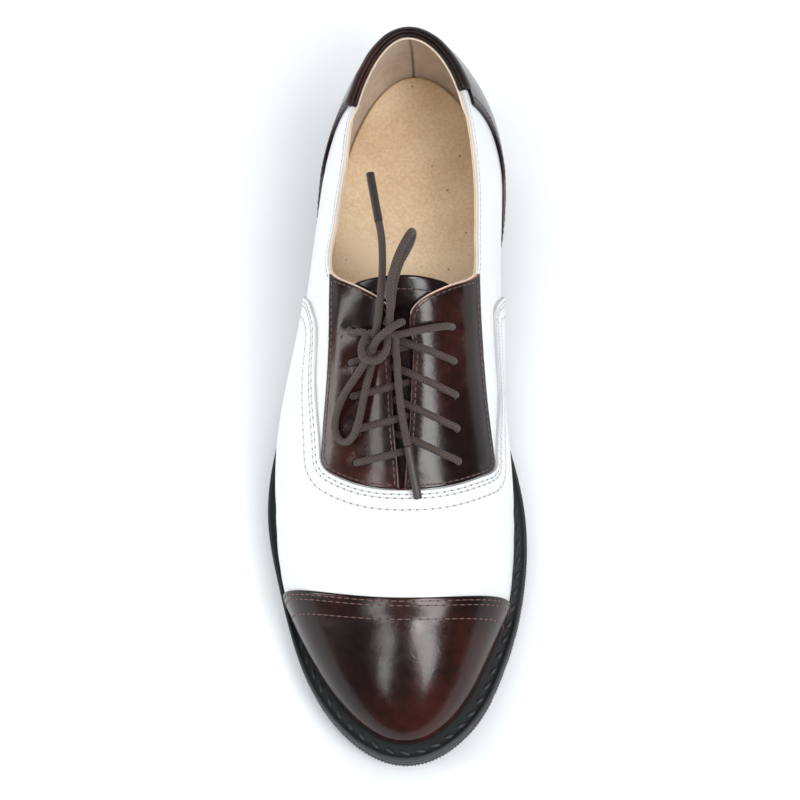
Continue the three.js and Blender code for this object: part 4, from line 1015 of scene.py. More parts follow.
# %% Toe cap
CAP, CAP_RIDE, CAP_RIDE_LENGTH = 1.55, 0.7, 9.0
cap_skin = rounded(cut(whole_last, cap), [cap])
distance = edge_distance(cap_skin[0], [cap])
ride = CAP_RIDE * (1 - smooth(distance / CAP_RIDE_LENGTH))
top = over_edge(distance, CAP, 0.45) + ride
under = np.where(distance < CAP_LAP + 0.5, VAMP + LINING_GAP, 0.1)
leather("toe_cap_leather", cap_skin, under, top, burgundy, "burgundy_leather", ["toe_cap"],
        edge=distance)
print("toe cap:", len(cap_skin[2]), "triangles on the outside")

# %% [markdown]
# ## Facings
# Two burgundy facings carry the holes. Their edge along the throat is cut raw, so a
# reddish line of bare leather shows there; it is painted stronger on the inner facing,
# where the line is partly a painted highlight. The lacing has pressed a small hollow
# round each hole and padded up the leather between the rows.

# %% Facings
FACING = 1.0
PRESSED, PRESSED_AT, PRESSED_WIDTH = 0.35, 1.2, 2.4
SWELL, BARE_WIDTH = 0.25, 0.3
throat_skin = cut(punched_last, opening)
panel_end = lambda p: p[:, 1] - (UPPER_TOE + PANEL_END * UPPER_LENGTH)


def pressed(p):
    return -PRESSED * np.exp(-((from_hole(p) - PRESSED_AT) / PRESSED_WIDTH) ** 2)


# name, side, how much of the raw edge shows; it is stronger on the inner facing, as a painted
# highlight in part
for name, side, raw_edge_and_highlight in (("outer", 1, 0.35), ("inner", -1, 1.0)):
    half = lambda p: side * (p[:, 0] - THROAT_X) + CLEAR / 2
    facing_skin = cut(throat_skin, panel, panel_end, opening, half, tight_holes)
    facing_skin = rounded(facing_skin, [panel, opening], (0.12, 0.3, 0.6))
    distance = edge_distance(facing_skin[0], [panel, opening, half])
    bare = raw_edge_and_highlight * (1 - smooth(edge_distance(facing_skin[0], [opening]) / BARE_WIDTH))
    swell = SWELL * smooth((distance - 1.2) / 3) + pressed(facing_skin[0]) * smooth(distance / 1.5)
    leather(f"facing_{name}_leather", facing_skin, LINING_GAP,
            over_edge(distance, FACING, 0.4) + swell, burgundy, "burgundy_leather",
            [f"facing_{name}"], edge=distance, bare=bare)

# %% Heel counter and tongue
COUNTER_TOP, BINDING_DROP = 1.3, 5.2
under_binding = lambda p: collar_drop(p) + BINDING_DROP - 1
counter_skin = rounded(cut(whole_last, counter, under_binding), [counter])
distance = edge_distance(counter_skin[0], [counter])
leather("heel_counter_leather", counter_skin, LINING_GAP, over_edge(distance, COUNTER_TOP, 0.45),
        burgundy, "burgundy_leather", ["heel_counter"], edge=distance)

TONGUE, TONGUE_FROM, TONGUE_TO, TONGUE_CORNER = 1.8, 0.27, 0.578, 8
TONGUE_PRESS, PRESS_TO, PRESS_BLEND = 2.6, 0.545, 0.03  # how far the lacing holds it down
TONGUE_SIDES = np.array([(0.27, 0.20), (0.40, 0.24), (0.52, 0.27), (0.60, 0.27)])
tongue_half = curve(*TONGUE_SIDES.T)


def tongue_top(p):
    return p[:, 1] - (UPPER_TOE + TONGUE_TO * UPPER_LENGTH)


def tongue_line(p):
    beside = np.abs(p[:, 0] - THROAT_X) - tongue_half(upper_share(p[:, 1])) * UPPER_BALL
    return soft_max(beside, tongue_top(p), TONGUE_CORNER)


tongue_front = lambda p: UPPER_TOE + TONGUE_FROM * UPPER_LENGTH - p[:, 1]
tongue_skin = rounded(cut(whole_last, tongue_line, tongue_front), [tongue_line])
distance = edge_distance(tongue_skin[0], [tongue_line])
press = TONGUE_PRESS * smooth((PRESS_TO - upper_share(tongue_skin[0][:, 1])) / PRESS_BLEND)
top = over_edge(distance, 0, 0.6) - WALL - CLEAR - press
leather("tongue_leather", tongue_skin, -WALL - CLEAR - TONGUE - press, top, burgundy,
        "burgundy_leather", ["tongue"], edge=distance)
print("counter and tongue:", len(counter_skin[2]), len(tongue_skin[2]), "triangles outside")

# %% [markdown]
# ## Lines for thread, piping and binding
# A stitch row runs beside an edge at an even distance. The line is read from the skin:
# every triangle that it crosses gives a short length, and the lengths join end to end.

# %% Follow a line over a skin
def follow(skin, region):
    points, normals, faces = skin
    value = region(points)
    value = np.where(value == 0, 1e-9, value)
    side = value > 0
    links = {}
    crossed = faces[(side[faces].any(axis=1)) & (~side[faces].all(axis=1))]
    for face in crossed.tolist():
        ends = [(min(p, q), max(p, q))
                for p, q in zip(face, face[1:] + face[:1]) if side[p] != side[q]]
        links.setdefault(ends[0], []).append(ends[1])
        links.setdefault(ends[1], []).append(ends[0])
    lines = []
    while links:
        start = next((k for k, v in links.items() if len(v) == 1), next(iter(links)))
        chain, here = [start], start
        while links.get(here):
            step = links[here].pop()
            links[step].remove(here)
            if not links[here]:
                del links[here]
            chain.append(step)
            here = step
        links.pop(here, None)
        ids = np.array(chain)
        share = (value[ids[:, 0]] / (value[ids[:, 0]] - value[ids[:, 1]]))[:, None]
        between = lambda rows: rows[ids[:, 0]] + (rows[ids[:, 1]] - rows[ids[:, 0]]) * share
        lines.append((between(points), unit(between(normals))))
    return sorted(lines, key=lambda line: -len(line[0]))


def even(line, pitch):
    points, normals = line
    reach = reach_along(points)
    at = np.arange(pitch / 2, reach[-1], pitch)
    pick = lambda rows: np.stack([np.interp(at, reach, rows[:, k]) for k in range(3)], 1)
    return pick(points), unit(pick(normals))


# %% [markdown]
# ## Stitches
# Each stitch is a short grain of thread, pulled down at both ends into its needle
# holes. A small dark grain at each end is painted shade in that needle hole. All
# stitches of one thread are one mesh.

# %% Rows of stitches
def ball(around=8, rings=5):
    turn, rise = np.meshgrid(
        2 * np.pi * np.arange(around) / around, np.pi * np.arange(1, rings) / rings)
    body = np.stack([np.cos(rise), np.sin(rise) * np.cos(turn), np.sin(rise) * np.sin(turn)], -1)
    body = body.reshape(-1, 3)
    points = np.vstack([body, [1, 0, 0], [-1, 0, 0]])
    faces = []
    for r in range(rings - 2):
        for k in range(around):
            a, b = r * around + k, r * around + (k + 1) % around
            faces += [(a, a + around, b + around), (a, b + around, b)]
    last_ring = (rings - 2) * around
    for k in range(around):
        ahead = (k + 1) % around
        faces += [(len(body), k, ahead), (len(body) + 1, last_ring + ahead, last_ring + k)]
    return points, np.array(faces)


grain_points, grain_faces = ball()


def grains(centres, alongs, normals, half_length, half_width, half_height):
    across = unit(np.cross(normals, alongs))
    up = np.cross(alongs, across)
    shape = grain_points * [half_length, half_width, half_height]
    points = centres[:, None]
    for k, axis in enumerate((alongs, across, up)):
        points = points + shape[None, :, k:k + 1] * axis[:, None]
    offsets = np.arange(len(centres))[:, None, None] * len(grain_points)
    return points.reshape(-1, 3), (grain_faces[None] + offsets).reshape(-1, 3)


def by_line(marks):
    def region(p):
        near = [np.linalg.norm(some[:, None] - marks[None], axis=2).min(axis=1)
                for some in np.array_split(p, len(p) // 2000 + 1)]
        return -np.concatenate(near)
    return region


def stitch_row(skin, region, inset, height, pitch, keep=None):
    rows_made = []
    for line in follow(skin, lambda p: region(p) + inset):
        centres, normals = even(line, pitch)
        if len(centres) < 3:
            continue
        alongs = unit(np.gradient(centres, axis=0))
        kept = np.ones(len(centres), bool) if keep is None else keep(centres)
        lift = height(centres) if callable(height) else height
        centres = centres + normals * np.broadcast_to(lift, len(centres))[:, None]
        rows_made.append((centres[kept], alongs[kept], normals[kept]))
    return rows_made


THREAD_OVER, THREAD_SHARE, THREAD_HEIGHT, NEEDLE_SHADE_HEIGHT = 0.05, 0.42, 0.2, 0.06


def sew(name, made_rows, thread, pitch, half_width=0.26, hole=needle_shade_grey,
        needle_shade_size=(0.36, 0.3)):
    centres, alongs, normals = (np.concatenate([row[k] for row in made_rows]) for k in range(3))
    lifted = centres + normals * THREAD_OVER
    threads = grains(lifted, alongs, normals, THREAD_SHARE * pitch, half_width, THREAD_HEIGHT)
    piece(name, threads, thread)
    # A flattened dark grain at each stitch's end is painted shade in its needle hole.
    ends = centres + alongs * pitch / 2
    piece(name + "_holes", grains(ends, alongs, normals, *needle_shade_size, NEEDLE_SHADE_HEIGHT), hole)
    print(name + ":", len(centres), "stitches")


PITCH_WHITE, PITCH_CAP = 2.7, 2.8
MARK_PITCH, FEWEST_CORNERS, LOW_BAND, WING_BAND = 0.5, 20, 15, 2.5
COLLAR_ROW_FROM, COLLAR_ROW_TO = 0.6, (0.862, 0.843)  # on the inner and the outer side
on_vamp = lambda p: VAMP + creases(p)
rows_white = []
# The edge turns down the sides, so its rows are spaced by their true distance from it.
# Low down only its rear end, the wing's line, is sewn
marks = [even(line, MARK_PITCH)[0]
         for line in follow(whole_last, vamp_edge) if len(line[0]) > FEWEST_CORNERS]
marks = np.concatenate(marks)
high = marks[:, 2] - lower_edge(marks[:, 1]) > LOW_BAND
marks = marks[high | (np.abs(wing(marks)) < WING_BAND)]
for inset in (1.6, 3.0, 7.2):
    rows_white += stitch_row(vamp_skin, by_line(marks), inset, on_vamp, PITCH_WHITE)


def clear_of_binding(p):
    share = upper_share(p[:, 1])
    return (share > COLLAR_ROW_FROM) & (share < np.where(p[:, 0] > 0, *COLLAR_ROW_TO))


rows_white += stitch_row(quarter_skin, opening, 1.3, lambda p: -lean(p), 2.4, clear_of_binding)
sew("white_stitches", rows_white, white_thread, PITCH_WHITE,
    needle_shade_size=(0.66, 0.34))

on_cap = lambda p: CAP + CAP_RIDE * (1 - smooth(-cap(p) / CAP_RIDE_LENGTH))
rows_cap = []
for inset in (1.3, 2.9, 7.6):
    rows_cap += stitch_row(cap_skin, cap, inset, on_cap, PITCH_CAP)
sew("cap_stitches", rows_cap, brown_thread, PITCH_CAP, 0.2, needle_shade_black)

rows_dark = []
for inset in (1.3, 2.9):
    rows_dark += stitch_row(counter_skin, counter, inset, COUNTER_TOP, 2.6)
facing_skin = cut(throat_skin, panel, panel_end, opening)
rows_dark += stitch_row(facing_skin, panel, 1.3, FACING, 2.4, lambda p: opening(p) < -2)
rows_dark += stitch_row(facing_skin, opening, 1.5, FACING, 2.4, lambda p: panel(p) < -2)
rows_dark += stitch_row(
    tongue_skin, tongue_top, 4.5, -WALL - CLEAR, 2.6, lambda p: tongue_line(p) < -3)
sew("dark_stitches", rows_dark, dark_thread, 2.5, 0.28, needle_shade_black)

# %% [markdown]
# ## Folded edge of the lining
# Along the throat and the collar the lining is turned over the edge, and its cream back
# shows as a thin round line.

# %% Cream edge round the opening
EDGE_CORD, EDGE_STEP, EDGE_SMOOTHING, EDGE_SEEN_FROM = 0.85, 0.7, 6, 0.53
# how far in the fold lies: by the throat, by the collar and under the binding
EDGE_IN, MORE_AT_COLLAR, MORE_AT_BINDING, IN_BLEND = 0.35, 0.55, 1.25, 0.02
edge_points, edge_normals = follow(whole_last, opening)[0]
# The ring is turned to start in the throat, where the fold can't be seen
front = np.argmin(edge_points[:, 1])
edge_points, edge_normals = (np.roll(v, -front, axis=0) for v in (edge_points, edge_normals))
seen = upper_share(edge_points[:, 1]) > EDGE_SEEN_FROM
edge_points, edge_normals = edge_points[seen], edge_normals[seen]
share = upper_share(edge_points[:, 1])
inside = (EDGE_IN + MORE_AT_COLLAR * smooth((share - 0.6) / IN_BLEND)
          + MORE_AT_BINDING * smooth((share - 0.83) / IN_BLEND) + lean(edge_points))
edge_path = edge_points - edge_normals * inside[:, None]
reach = reach_along(edge_path)
at = np.arange(0, reach[-1], EDGE_STEP)
edge_path = np.stack([np.interp(at, reach, edge_path[:, k]) for k in range(3)], 1)
for _ in range(EDGE_SMOOTHING):
    edge_path[1:-1] = (edge_path[:-2] + 2 * edge_path[1:-1] + edge_path[2:]) / 4
body, _ = tube(edge_path, EDGE_CORD, sides=10)
piece("lining_fold", body, cream_edge)
print("opening edge:", round(float(reach[-1])), "mm round")

# %% [markdown]
# ## Collar binding
# A strip of burgundy leather is folded over the collar's back, with a soft filling. It
# has a round outer roll, a stitched valley on top and a smaller inner roll. The shape
# is one section, carried along the collar's edge.

# %% Binding, swept along the collar
BINDING_AT = {"outer": 0.847, "inner": 0.866}
# out from the last, up from the collar's edge
BINDING_SECTION = np.array([
    (1.30, -5.3), (1.80, -4.2), (2.10, -2.6), (2.00, -0.9), (1.45, 0.5), (0.75, 1.2),
    (0.20, 1.2), (-0.10, 0.85), (-0.40, 1.25), (-0.95, 1.4), (-1.50, 0.9), (-1.80, -0.2),
    (-1.75, -1.8), (-1.3, -3.0), (0.0, -3.6), (0.5, -4.8)])
BINDING_STEP, BINDING_END, BINDING_NARROWS = 0.8, 1.0, 0.16
BINDING_MIDDLE = np.array([0, -1.8])


def closed_curve(points, count):
    ring = np.vstack([points[-3:], points, points[:4]])
    reach = reach_along(ring)
    start, end = reach[3], reach[3 + len(points)]
    at = np.linspace(start, end, count, endpoint=False)
    return np.stack([curve(reach, ring[:, k])(at) for k in range(ring.shape[1])], 1)


def loft(rings, closed=False, ends=None):
    rings = np.asarray(rings)
    levels, count = rings.shape[:2]
    i, j = np.meshgrid(np.arange(levels if closed else levels - 1), np.arange(count), indexing="ij")
    above, ahead = (i + 1) % levels, (j + 1) % count
    a, b, c, d = (x.ravel() for x in (
        i * count + j, i * count + ahead, above * count + ahead, above * count + j))
    points, faces = rings.reshape(-1, 3), [np.stack([a, b, c], 1), np.stack([a, c, d], 1)]
    top = (levels - 1) * count
    if ends == "strips":          # from side to side, for a ring that starts at the toe
        k = np.arange(count // 2)
        far, far_next = (count - k) % count, count - k - 1
        for lap in (np.stack([k, k + 1, far_next], 1), np.stack([k, far_next, far], 1)):
            lap = lap[(lap[:, 0] != lap[:, 2]) & (lap[:, 1] != lap[:, 2])]
            faces += [lap[:, ::-1], lap + top]
    if ends == "fan":             # to a middle point
        k = np.arange(count)
        middles = np.array([rings[0].mean(axis=0), rings[-1].mean(axis=0)])
        low, high = np.full(count, len(points)), np.full(count, len(points) + 1)
        faces.append(np.stack([low, (k + 1) % count, k], 1))
        faces.append(np.stack([high, top + k, top + (k + 1) % count], 1))
        points = np.vstack([points, middles])
    return points, np.concatenate(faces)


def collar_frames(step):
    points, normals = follow(whole_last, collar_drop)[0]
    share = upper_share(points[:, 1])
    bound = share > np.where(points[:, 0] > 0, BINDING_AT["inner"], BINDING_AT["outer"])
    start = np.flatnonzero(~bound)
    # The line is a ring, so it is turned to start where the binding starts
    points, normals, bound = (np.roll(v, -start[-1] - 1, axis=0) if bound[0] and bound[-1] else v
                              for v in (points, normals, bound))
    points, normals = even((points[bound], normals[bound]), step)
    along = unit(np.gradient(points, axis=0))
    out = unit(normals - along * np.sum(normals * along, axis=1, keepdims=True))
    up = np.cross(along, out)
    return points, out, up * np.sign(up[:, 2:3])


points, out, up = collar_frames(BINDING_STEP)
section = closed_curve(BINDING_SECTION, 44)
rings = []
for k, (p, o, u) in enumerate(zip(points, out, up)):
    from_end = min(k, len(points) - 1 - k) * BINDING_STEP
    close = 1 - BINDING_NARROWS * (1 - min(1, from_end / BINDING_END)) ** 2
    swell = 1 + 0.02 * math.sin(k * 0.55) + 0.015 * math.sin(k * 0.23 + 1)
    offset = (section - BINDING_MIDDLE) * close * [swell, 1] + BINDING_MIDDLE
    rings.append(p + offset[:, :1] * o + offset[:, 1:] * u)
rings = np.array(rings)
start = rings[0, 0]
outward_there = np.cross(rings[0, 1] - start, rings[1, 0] - start)
if outward_there @ (start - rings[0].mean(axis=0)) < 0:
    rings = rings[:, ::-1]
body = loft(rings, ends="fan")
binding = piece("binding_leather", body, soft_burgundy, ["collar_binding"],
                {"edge": np.full(len(body[0]), 3.0)})
print("binding:", round(len(points) * BINDING_STEP), "mm long")

# %% [markdown]
# ## Sock
# The sock is glued to the insole from heel to toe. It is dished a little, and its edge
# dips where it meets the lining.

# %% Sock
SOCK, SOCK_STEPS, SPINE_FROM, SPINE_TO = 2.4, 400, -98, 100


def sock_ring(inset_share, height):
    turn = np.arange(SOCK_STEPS) / SOCK_STEPS
    normal = last_normal(turn, np.full(SOCK_STEPS, LOW_SHARE))
    level = unit(normal * [1, 1, 0])
    edge = last_point(turn, np.zeros(SOCK_STEPS)) - level * (WALL + 0.1)
    spine_y = np.clip(edge[:, 1], SPINE_FROM, SPINE_TO)
    inner, outer = (upper_half[side](upper_share(spine_y)) for side in ("inner", "outer"))
    spine = np.stack([(inner - outer) / 2 * UPPER_BALL, spine_y], 1)
    plan = edge[:, :2] + (spine - edge[:, :2]) * inset_share
    return np.column_stack([plan, lower_edge(plan[:, 1]) + height])


# share of the way in to the middle, height
dish = [(1, 0), (0, 0), (0, SOCK - 0.9), (0.006, SOCK - 0.1), (0.02, SOCK + 0.35),
        (0.05, SOCK + 0.5)]
dish += [(s, SOCK + 0.5 * (1 - smooth((s - 0.05) / 0.5))) for s in np.linspace(0.1, 1, 16)]
body = loft([sock_ring(*d) for d in dish])
piece("pigskin_sock", body, sock_material, ["insole"])

# %% [markdown]
# ## Sole unit
# Outsole, welt and heel are moulded in black rubber. The outline is drawn once at
# fine steps, and every layer is a ring of it, drawn in by its own inset. The outsole's
# lower edge has fine upright teeth, and the welt carries a moulded row of stitches.

# %% Outline of the sole and its rings
def sole_outline(side_steps):
    share = (1 - np.cos(np.pi * np.arange(side_steps + 1) / side_steps)) / 2
    y = SOLE_TOE + share * SOLE_LENGTH
    inner = np.stack([sole_half["inner"](share) * SOLE_BALL, y], 1)
    outer = np.stack([-sole_half["outer"](share) * SOLE_BALL, y], 1)[-2:0:-1]
    plan = np.vstack([inner, outer])
    along = unit(np.roll(plan, -3, axis=0) - np.roll(plan, 3, axis=0))
    reach = reach_along(plan)
    return plan, np.stack([along[:, 1], -along[:, 0]], 1), reach


SIDE_STEPS, TOOTH = 1100, 1.4
outline, outward, reach = sole_outline(SIDE_STEPS)
girth = reach[-1]
TEETH = round(girth / TOOTH)
tooth = 0.5 + 0.5 * np.cos(2 * np.pi * TEETH * reach / girth)


def ring(inset, height, teeth=0.0):
    plan = outline - outward * (inset + teeth * tooth)[:, None]
    return np.column_stack([plan, ground(plan[:, 1]) + height])


print("sole's girth:", round(float(girth)), "mm with", TEETH, "teeth")

# %% Outsole with its tread grooves
SIDE_GROOVE = 0.9
# inset, height, depth of the teeth
outsole_rings = [ring(*level) for level in (
    (8, 0.0), (1.3, 0.0), (0.5, 0.25, 0.45), (0.0, 0.8, 0.5), (0.0, 2.2, 0.45), (0.1, 2.7),
    (0.7, 3.0), (SIDE_GROOVE, 3.2), (SIDE_GROOVE, 4.3), (0.5, 4.6), (0.0, 4.9),
    (0.0, OUTSOLE), (0.4, OUTSOLE + 0.1), (12, OUTSOLE + 0.1))]
outsole = piece(
    "outsole_rubber", loft(outsole_rings, ends="strips"), rubber, ["outsole"])

TREAD_FROM, TREAD_TO, TREAD_PITCH, TREAD_GROOVE, LUG = 0.1, 0.46, 11.5, 3, 2.2
CUTTER = np.array([200, TREAD_GROOVE, 10])  # wider and deeper than any groove


def carve(target, boxes):
    points, faces = [], []
    for centre in boxes:
        corner = len(points)
        points += [np.array(centre) + CUTTER / 2 * (sx, sy, sz)
                   for sx in (-1, 1) for sy in (-1, 1) for sz in (-1, 1)]
        faces += [[corner + k for k in face] for face in (
            (0, 1, 3, 2), (4, 6, 7, 5), (0, 4, 5, 1), (2, 3, 7, 6), (0, 2, 6, 4), (1, 5, 7, 3))]
    mesh = bpy.data.meshes.new("cutter")
    mesh.from_pydata(to_row(points).tolist(), [], faces)
    cutter = bpy.data.objects.new("cutter", mesh)
    bpy.context.scene.collection.objects.link(cutter)
    modifier = target.modifiers.new("grooves", "BOOLEAN")
    modifier.operation, modifier.solver, modifier.object = "DIFFERENCE", "EXACT", cutter
    carved = target.evaluated_get(bpy.context.evaluated_depsgraph_get())
    done = bpy.data.meshes.new_from_object(carved)
    target.modifiers.clear()
    target.data = done
    bpy.data.objects.remove(cutter)


tread = []
for k in range(int((TREAD_TO - TREAD_FROM) * SOLE_LENGTH / TREAD_PITCH) + 1):
    y = SOLE_TOE + TREAD_FROM * SOLE_LENGTH + k * TREAD_PITCH
    tread.append((0, y, float(ground(y)) + LUG - 5))
carve(outsole, tread)
print("outsole:", len(outsole.data.polygons), "faces,", len(tread), "grooves")

# %% Heel
LIFT, HEEL_TAPER, BREAST_CURVE = 6.2, 1.6, 2.2


def heel_ring(inset, height):
    breast = SOLE_TOE + HEEL_BREAST * SOLE_LENGTH
    behind = outline[:, 1] > breast
    plan = outline[behind]
    ends = plan[0], plan[-1]
    across = np.linspace(1, 0, 40, endpoint=False)[1:, None]
    front = ends[0] + (ends[1] - ends[0]) * (1 - across)
    front[:, 1] += BREAST_CURVE * np.sin(np.pi * across[:, 0])
    plan = np.vstack([plan, front[::-1]])
    middle = np.array([plan[:, 0].mean(), breast + 40])
    reach = np.linalg.norm(plan - middle, axis=1, keepdims=True)
    plan = middle + (plan - middle) * (1 - inset / reach)
    level = height if np.isscalar(height) else height(plan[:, 1])
    return np.column_stack([plan, np.broadcast_to(level, len(plan))])


TAPERED = 0.7 * HEEL_TAPER
heel_rings = [heel_ring(*level) for level in (
    (HEEL_TAPER + 0.5, 0.0), (HEEL_TAPER, 0.5), (TAPERED, LIFT - 0.5),
    (TAPERED + 0.2, LIFT - 0.15), (TAPERED + 0.8, LIFT), (TAPERED + 0.8, LIFT + 0.8),
    (0.62 * HEEL_TAPER + 0.1, LIFT + 1.1), (0.6 * HEEL_TAPER, LIFT + 1.4),
    (0.1, lambda y: ground(y) - 0.3), (0.3, lambda y: ground(y) + 0.02))]
heel = piece("heel_rubber", loft(heel_rings, ends="fan"), rubber, ["heel"])
carve(heel, [(0, SOLE_TOE + HEEL_BREAST * SOLE_LENGTH + k * 1.5 * TREAD_PITCH, LUG - 5)
             for k in (1, 2, 3)])

# %% Storm welt with moulded stitches
WELT_RIM, WELT_RIM_RISE, LIP_FADES_FROM, LIP_FADES_TO = 1.3, 0.8, 0.38, 0.52
sole_share = (outline[:, 1] - SOLE_TOE) / SOLE_LENGTH
fade = 1 - smooth((sole_share - LIP_FADES_FROM) / (LIP_FADES_TO - LIP_FADES_FROM))
lip = WELT_RIM_RISE * fade
welt_foot = OUTSOLE + 0.05
welt_top = OUTSOLE + CLEAR + WELT
welt_rings = [ring(*level) for level in (
    (13, welt_foot), (0.5, welt_foot), (0.1, welt_foot + 0.35), (0.0, welt_foot + 0.9),
    (0.0, welt_top - 0.3 + lip), (0.25, welt_top + lip), (0.9, welt_top + lip),
    (WELT_RIM, welt_top - 0.25 + 0.8 * lip), (WELT_RIM + 0.5, welt_top - 0.35 * fade),
    (3.2, welt_top - 0.45 * fade), (13, welt_top - 0.1))]
piece("storm_welt_rubber", loft(welt_rings, closed=True), rubber, ["welt"])

STITCH_PITCH, STITCH_IN, STITCH_SLANT, ROOM_FREE = 6.5, 3.0, 0.35, 1.0
SHOE_OVAL = [50, 130]             # half width and length, to tell outside from inside
upper_wide = last_point(np.arange(800) / 800, np.full(800, LOW_SHARE))[:, :2]
count = round(girth / STITCH_PITCH)
pick = np.searchsorted(reach, np.arange(count) * girth / count)
plan = outline[pick] - outward[pick] * STITCH_IN
room = np.linalg.norm(plan[:, None] - upper_wide[None], axis=2)
nearest = upper_wide[room.argmin(axis=1)]
free = (room.min(axis=1) > ROOM_FREE) & (fade[pick] > 0.2)
free &= np.linalg.norm(plan / SHOE_OVAL, axis=1) > np.linalg.norm(nearest / SHOE_OVAL, axis=1)
centres = np.column_stack([plan, ground(plan[:, 1]) + welt_top - 0.25])[free]
aside, ahead = outward[pick].T
slant = unit(np.column_stack([
    -ahead + STITCH_SLANT * aside, aside + STITCH_SLANT * ahead, np.zeros(count)]))[free]
upright = np.tile([0.0, 0, 1], (len(centres), 1))
piece("moulded_stitches", grains(centres, slant, upright, 2.0, 0.8, 0.36), rubber)
print("moulded stitches in view:", int(free.sum()))

# %% [markdown]
# ## Lacing
# In each row a strand comes up through a hole, lies over its facing and dips through
# the throat under the other facing, where the next hole takes it. The two strands of a
# row cross in the throat. The top row runs to the knot instead.

# %% Strands of the lacing
RISE_INNER = [0.0, 4.7, 6.5, 7.0, 6.9]
RISE_OUTER = [0.0, 3.6, 3.4, 3.6, 3.4]
TOP = FACING + LACE / 2
# across over the holes' distance, share of the rise, height over the last for the inner
# strand and for the outer one
STRAND = np.array([
    (1.000, 0.00, -4.5, -4.5), (1.000, 0.00, -1.2, -1.2), (0.985, 0.01, 0.9, 0.9),
    (0.925, 0.05, TOP, TOP), (0.82, 0.14, TOP + 0.1, TOP + 0.1), (0.62, 0.33, TOP, TOP),
    (0.42, 0.53, TOP, TOP), (0.28, 0.67, TOP - 0.1, TOP - 0.3),
    (0.16, 0.80, TOP - 1.1, TOP - 1.6), (0.03, 0.90, -0.6, -1.8), (-0.12, 1.00, -2.6, -3.4),
    (-0.30, 1.10, -3.9, -4.2)])
TOP_ROW_DROP = 14                 # how far the outer side's top strand slants to the toe


def strand(side, row):
    rise = (RISE_INNER if side > 0 else RISE_OUTER)[row]
    across, share, over, under = STRAND.T
    points, _ = on_last(lace_x(row, side * across), lace_y(row, side) + share * rise,
                        over if side > 0 else under)
    return smooth_path(points)


for row in range(1, EYELETS):
    for name, side in (("outer", -1), ("inner", 1)):
        lace(f"lace_row_{row + 1}_{name}", strand(side, row),
             [f"lace_bar_{row + 1}"] if side > 0 else [])

for name, side, knot_end in (
        ("outer", -1, [(-14.8, 3.6, 86.6), (-12.4, 2.4, 87.4), (-9.4, 1.6, 88.0)]),
        ("inner", 1, [(5.4, 3.0, 89.8), (2.5, 2.0, 90.7), (-0.2, 1.6, 90.3), (-3.6, 1.4, 88.6)])):
    across, share, height, _ = STRAND[:4].T
    drop = TOP_ROW_DROP * (1 - across) * (side < 0)
    start, _ = on_last(lace_x(0, side * across), lace_y(0, side) - drop, height)
    lace(f"lace_row_1_{name}", smooth_path(np.vstack([start, knot_end])),
         ["lace_bar_1"] if side > 0 else [])

# %% [markdown]
# ## Knot
# The bow's knot is one turn of cord round the two loops. One strand lies slanting over
# the front, and below it the turn hangs as a small U.

# %% Turns of the knot
KNOT_TURNS = {
    "knot_over": [
        (-2.6, 6.4, 87.6), (-0.4, 6.4, 89.4), (-0.4, 5.2, 92.0), (-2.0, 3.8, 93.6),
        (-4.3, 1.9, 94.6), (-6.6, 0.1, 94.4), (-8.7, -1.6, 93.0), (-10.1, -3.2, 90.8),
        (-10.9, -4.4, 87.8)],
    "knot_turn": [
        (-10.6, 3.6, 87.6), (-13.0, 1.2, 88.6), (-14.4, -2.3, 89.4), (-14.6, -5.0, 89.6),
        (-13.6, -7.5, 89.6), (-11.2, -8.5, 89.8), (-8.5, -8.3, 90.0), (-6.7, -6.5, 90.4),
        (-5.5, -4.1, 90.8), (-5.3, -1.1, 90.4), (-5.7, 2.0, 88.2)],
    "knot_under": [
        (-12.6, -0.4, 86.2), (-9.6, 1.2, 87.0), (-6.2, 2.0, 87.6), (-3.0, 3.4, 87.4)],
}
for name, route in KNOT_TURNS.items():
    lace(name, smooth_path(route), ["lace_knot"] if name == "knot_over" else [], 20)

# %% [markdown]
# ## Floor and light
# The shoe stands on a pale floor. A large window is in front, a little to the shoe's
# inner side, where the gloss on the cap shows it, and a weaker one on the outer side.
# Pale walls and the ceiling give the rest, so the shadows on the floor stay faint.

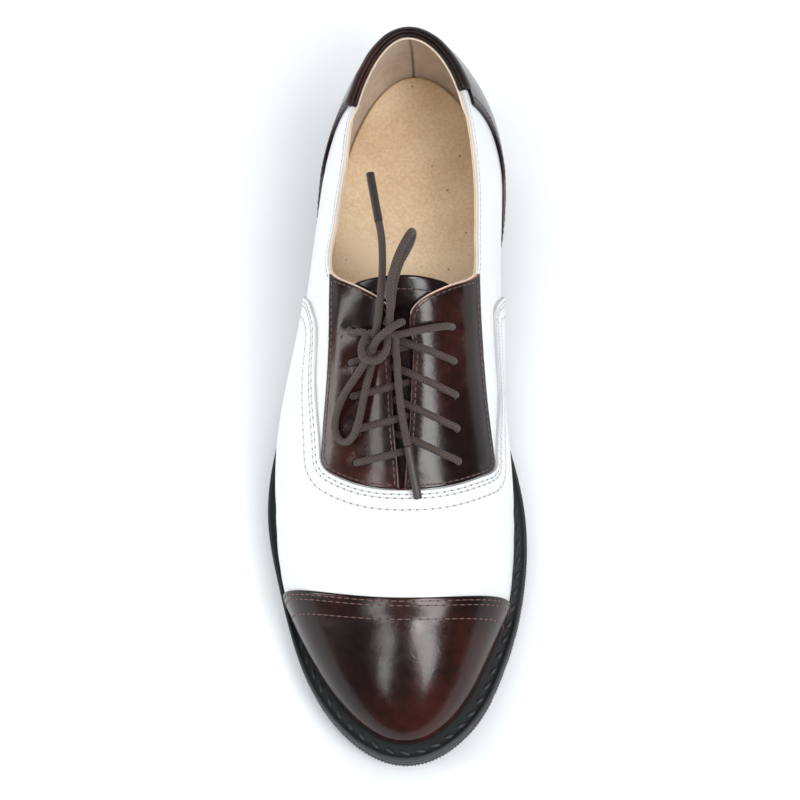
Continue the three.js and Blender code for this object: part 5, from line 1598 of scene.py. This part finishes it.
# %% Floor
floor_mesh = bpy.data.meshes.new("floor")
floor_mesh.from_pydata([(-4, -4, 0), (4, -4, 0), (4, 4, 0), (-4, 4, 0)], [], [(0, 1, 2, 3)])
floor_mesh.materials.append(plain("pale_paper", "#F0F3F6", 0.9, 60, 0.01))
floor = bpy.data.objects.new("floor", floor_mesh)
floor.location.z = -0.0002
bpy.context.scene.collection.objects.link(floor)

# %% Lights
def soft_light(name, direction, distance, size, power, glossy=True, diffuse=True):
    data = bpy.data.lights.new(name, "AREA")
    data.shape, (data.size, data.size_y) = "RECTANGLE", size
    data.energy = power
    lamp = bpy.data.objects.new(name, data)
    lamp.location = shoe_middle + Vector(direction).normalized() * distance
    lamp.rotation_mode = "QUATERNION"
    lamp.rotation_quaternion = (shoe_middle - lamp.location).to_track_quat("-Z", "Y")
    lamp.visible_glossy, lamp.visible_diffuse = glossy, diffuse
    bpy.context.scene.collection.objects.link(lamp)


# Panes that the gloss shows
soft_light("window", (0.42, -0.42, 0.80), 1.7, (0.5, 0.9), 19, diffuse=False)
soft_light("left_pane", (-0.36, -0.48, 0.80), 1.7, (0.25, 0.9), 7, diffuse=False)
soft_light("upper_pane", (0.26, -0.24, 0.93), 1.7, (0.65, 0.3), 8, diffuse=False)
soft_light("outer_window", (-0.92, -0.16, 0.38), 1.8, (0.3, 1.2), 10)
# The window's light, pale walls and ceiling, without a shape in the gloss
soft_light("window_glow", (0.42, -0.42, 0.80), 1.7, (0.5, 0.9), 14, glossy=False)
soft_light("ceiling", (0.0, 0.12, 1.0), 1.9, (2.6, 2.6), 27, glossy=False)
soft_light("front_wall", (0.0, -1.0, 0.6), 1.8, (1.2, 0.8), 6, glossy=False)
soft_light("inner_wall", (1.0, 0.1, 0.4), 1.8, (1.2, 0.8), 9, glossy=False)
soft_light("outer_wall", (-1.0, 0.1, 0.3), 1.8, (1.2, 0.8), 6, glossy=False)
soft_light("rear_wall", (-0.3, 1.0, 0.4), 1.8, (1.2, 0.8), 8, glossy=False)
room = bpy.data.worlds.new("pale_room")
room.use_nodes = True
room.node_tree.nodes["Background"].inputs["Color"].default_value = colour("#F2F6FA")
room.node_tree.nodes["Background"].inputs["Strength"].default_value = 0.2
bpy.context.scene.world = room
bpy.context.scene.view_settings.view_transform = "Standard"

# %% Update the view layer
bpy.context.view_layer.update()
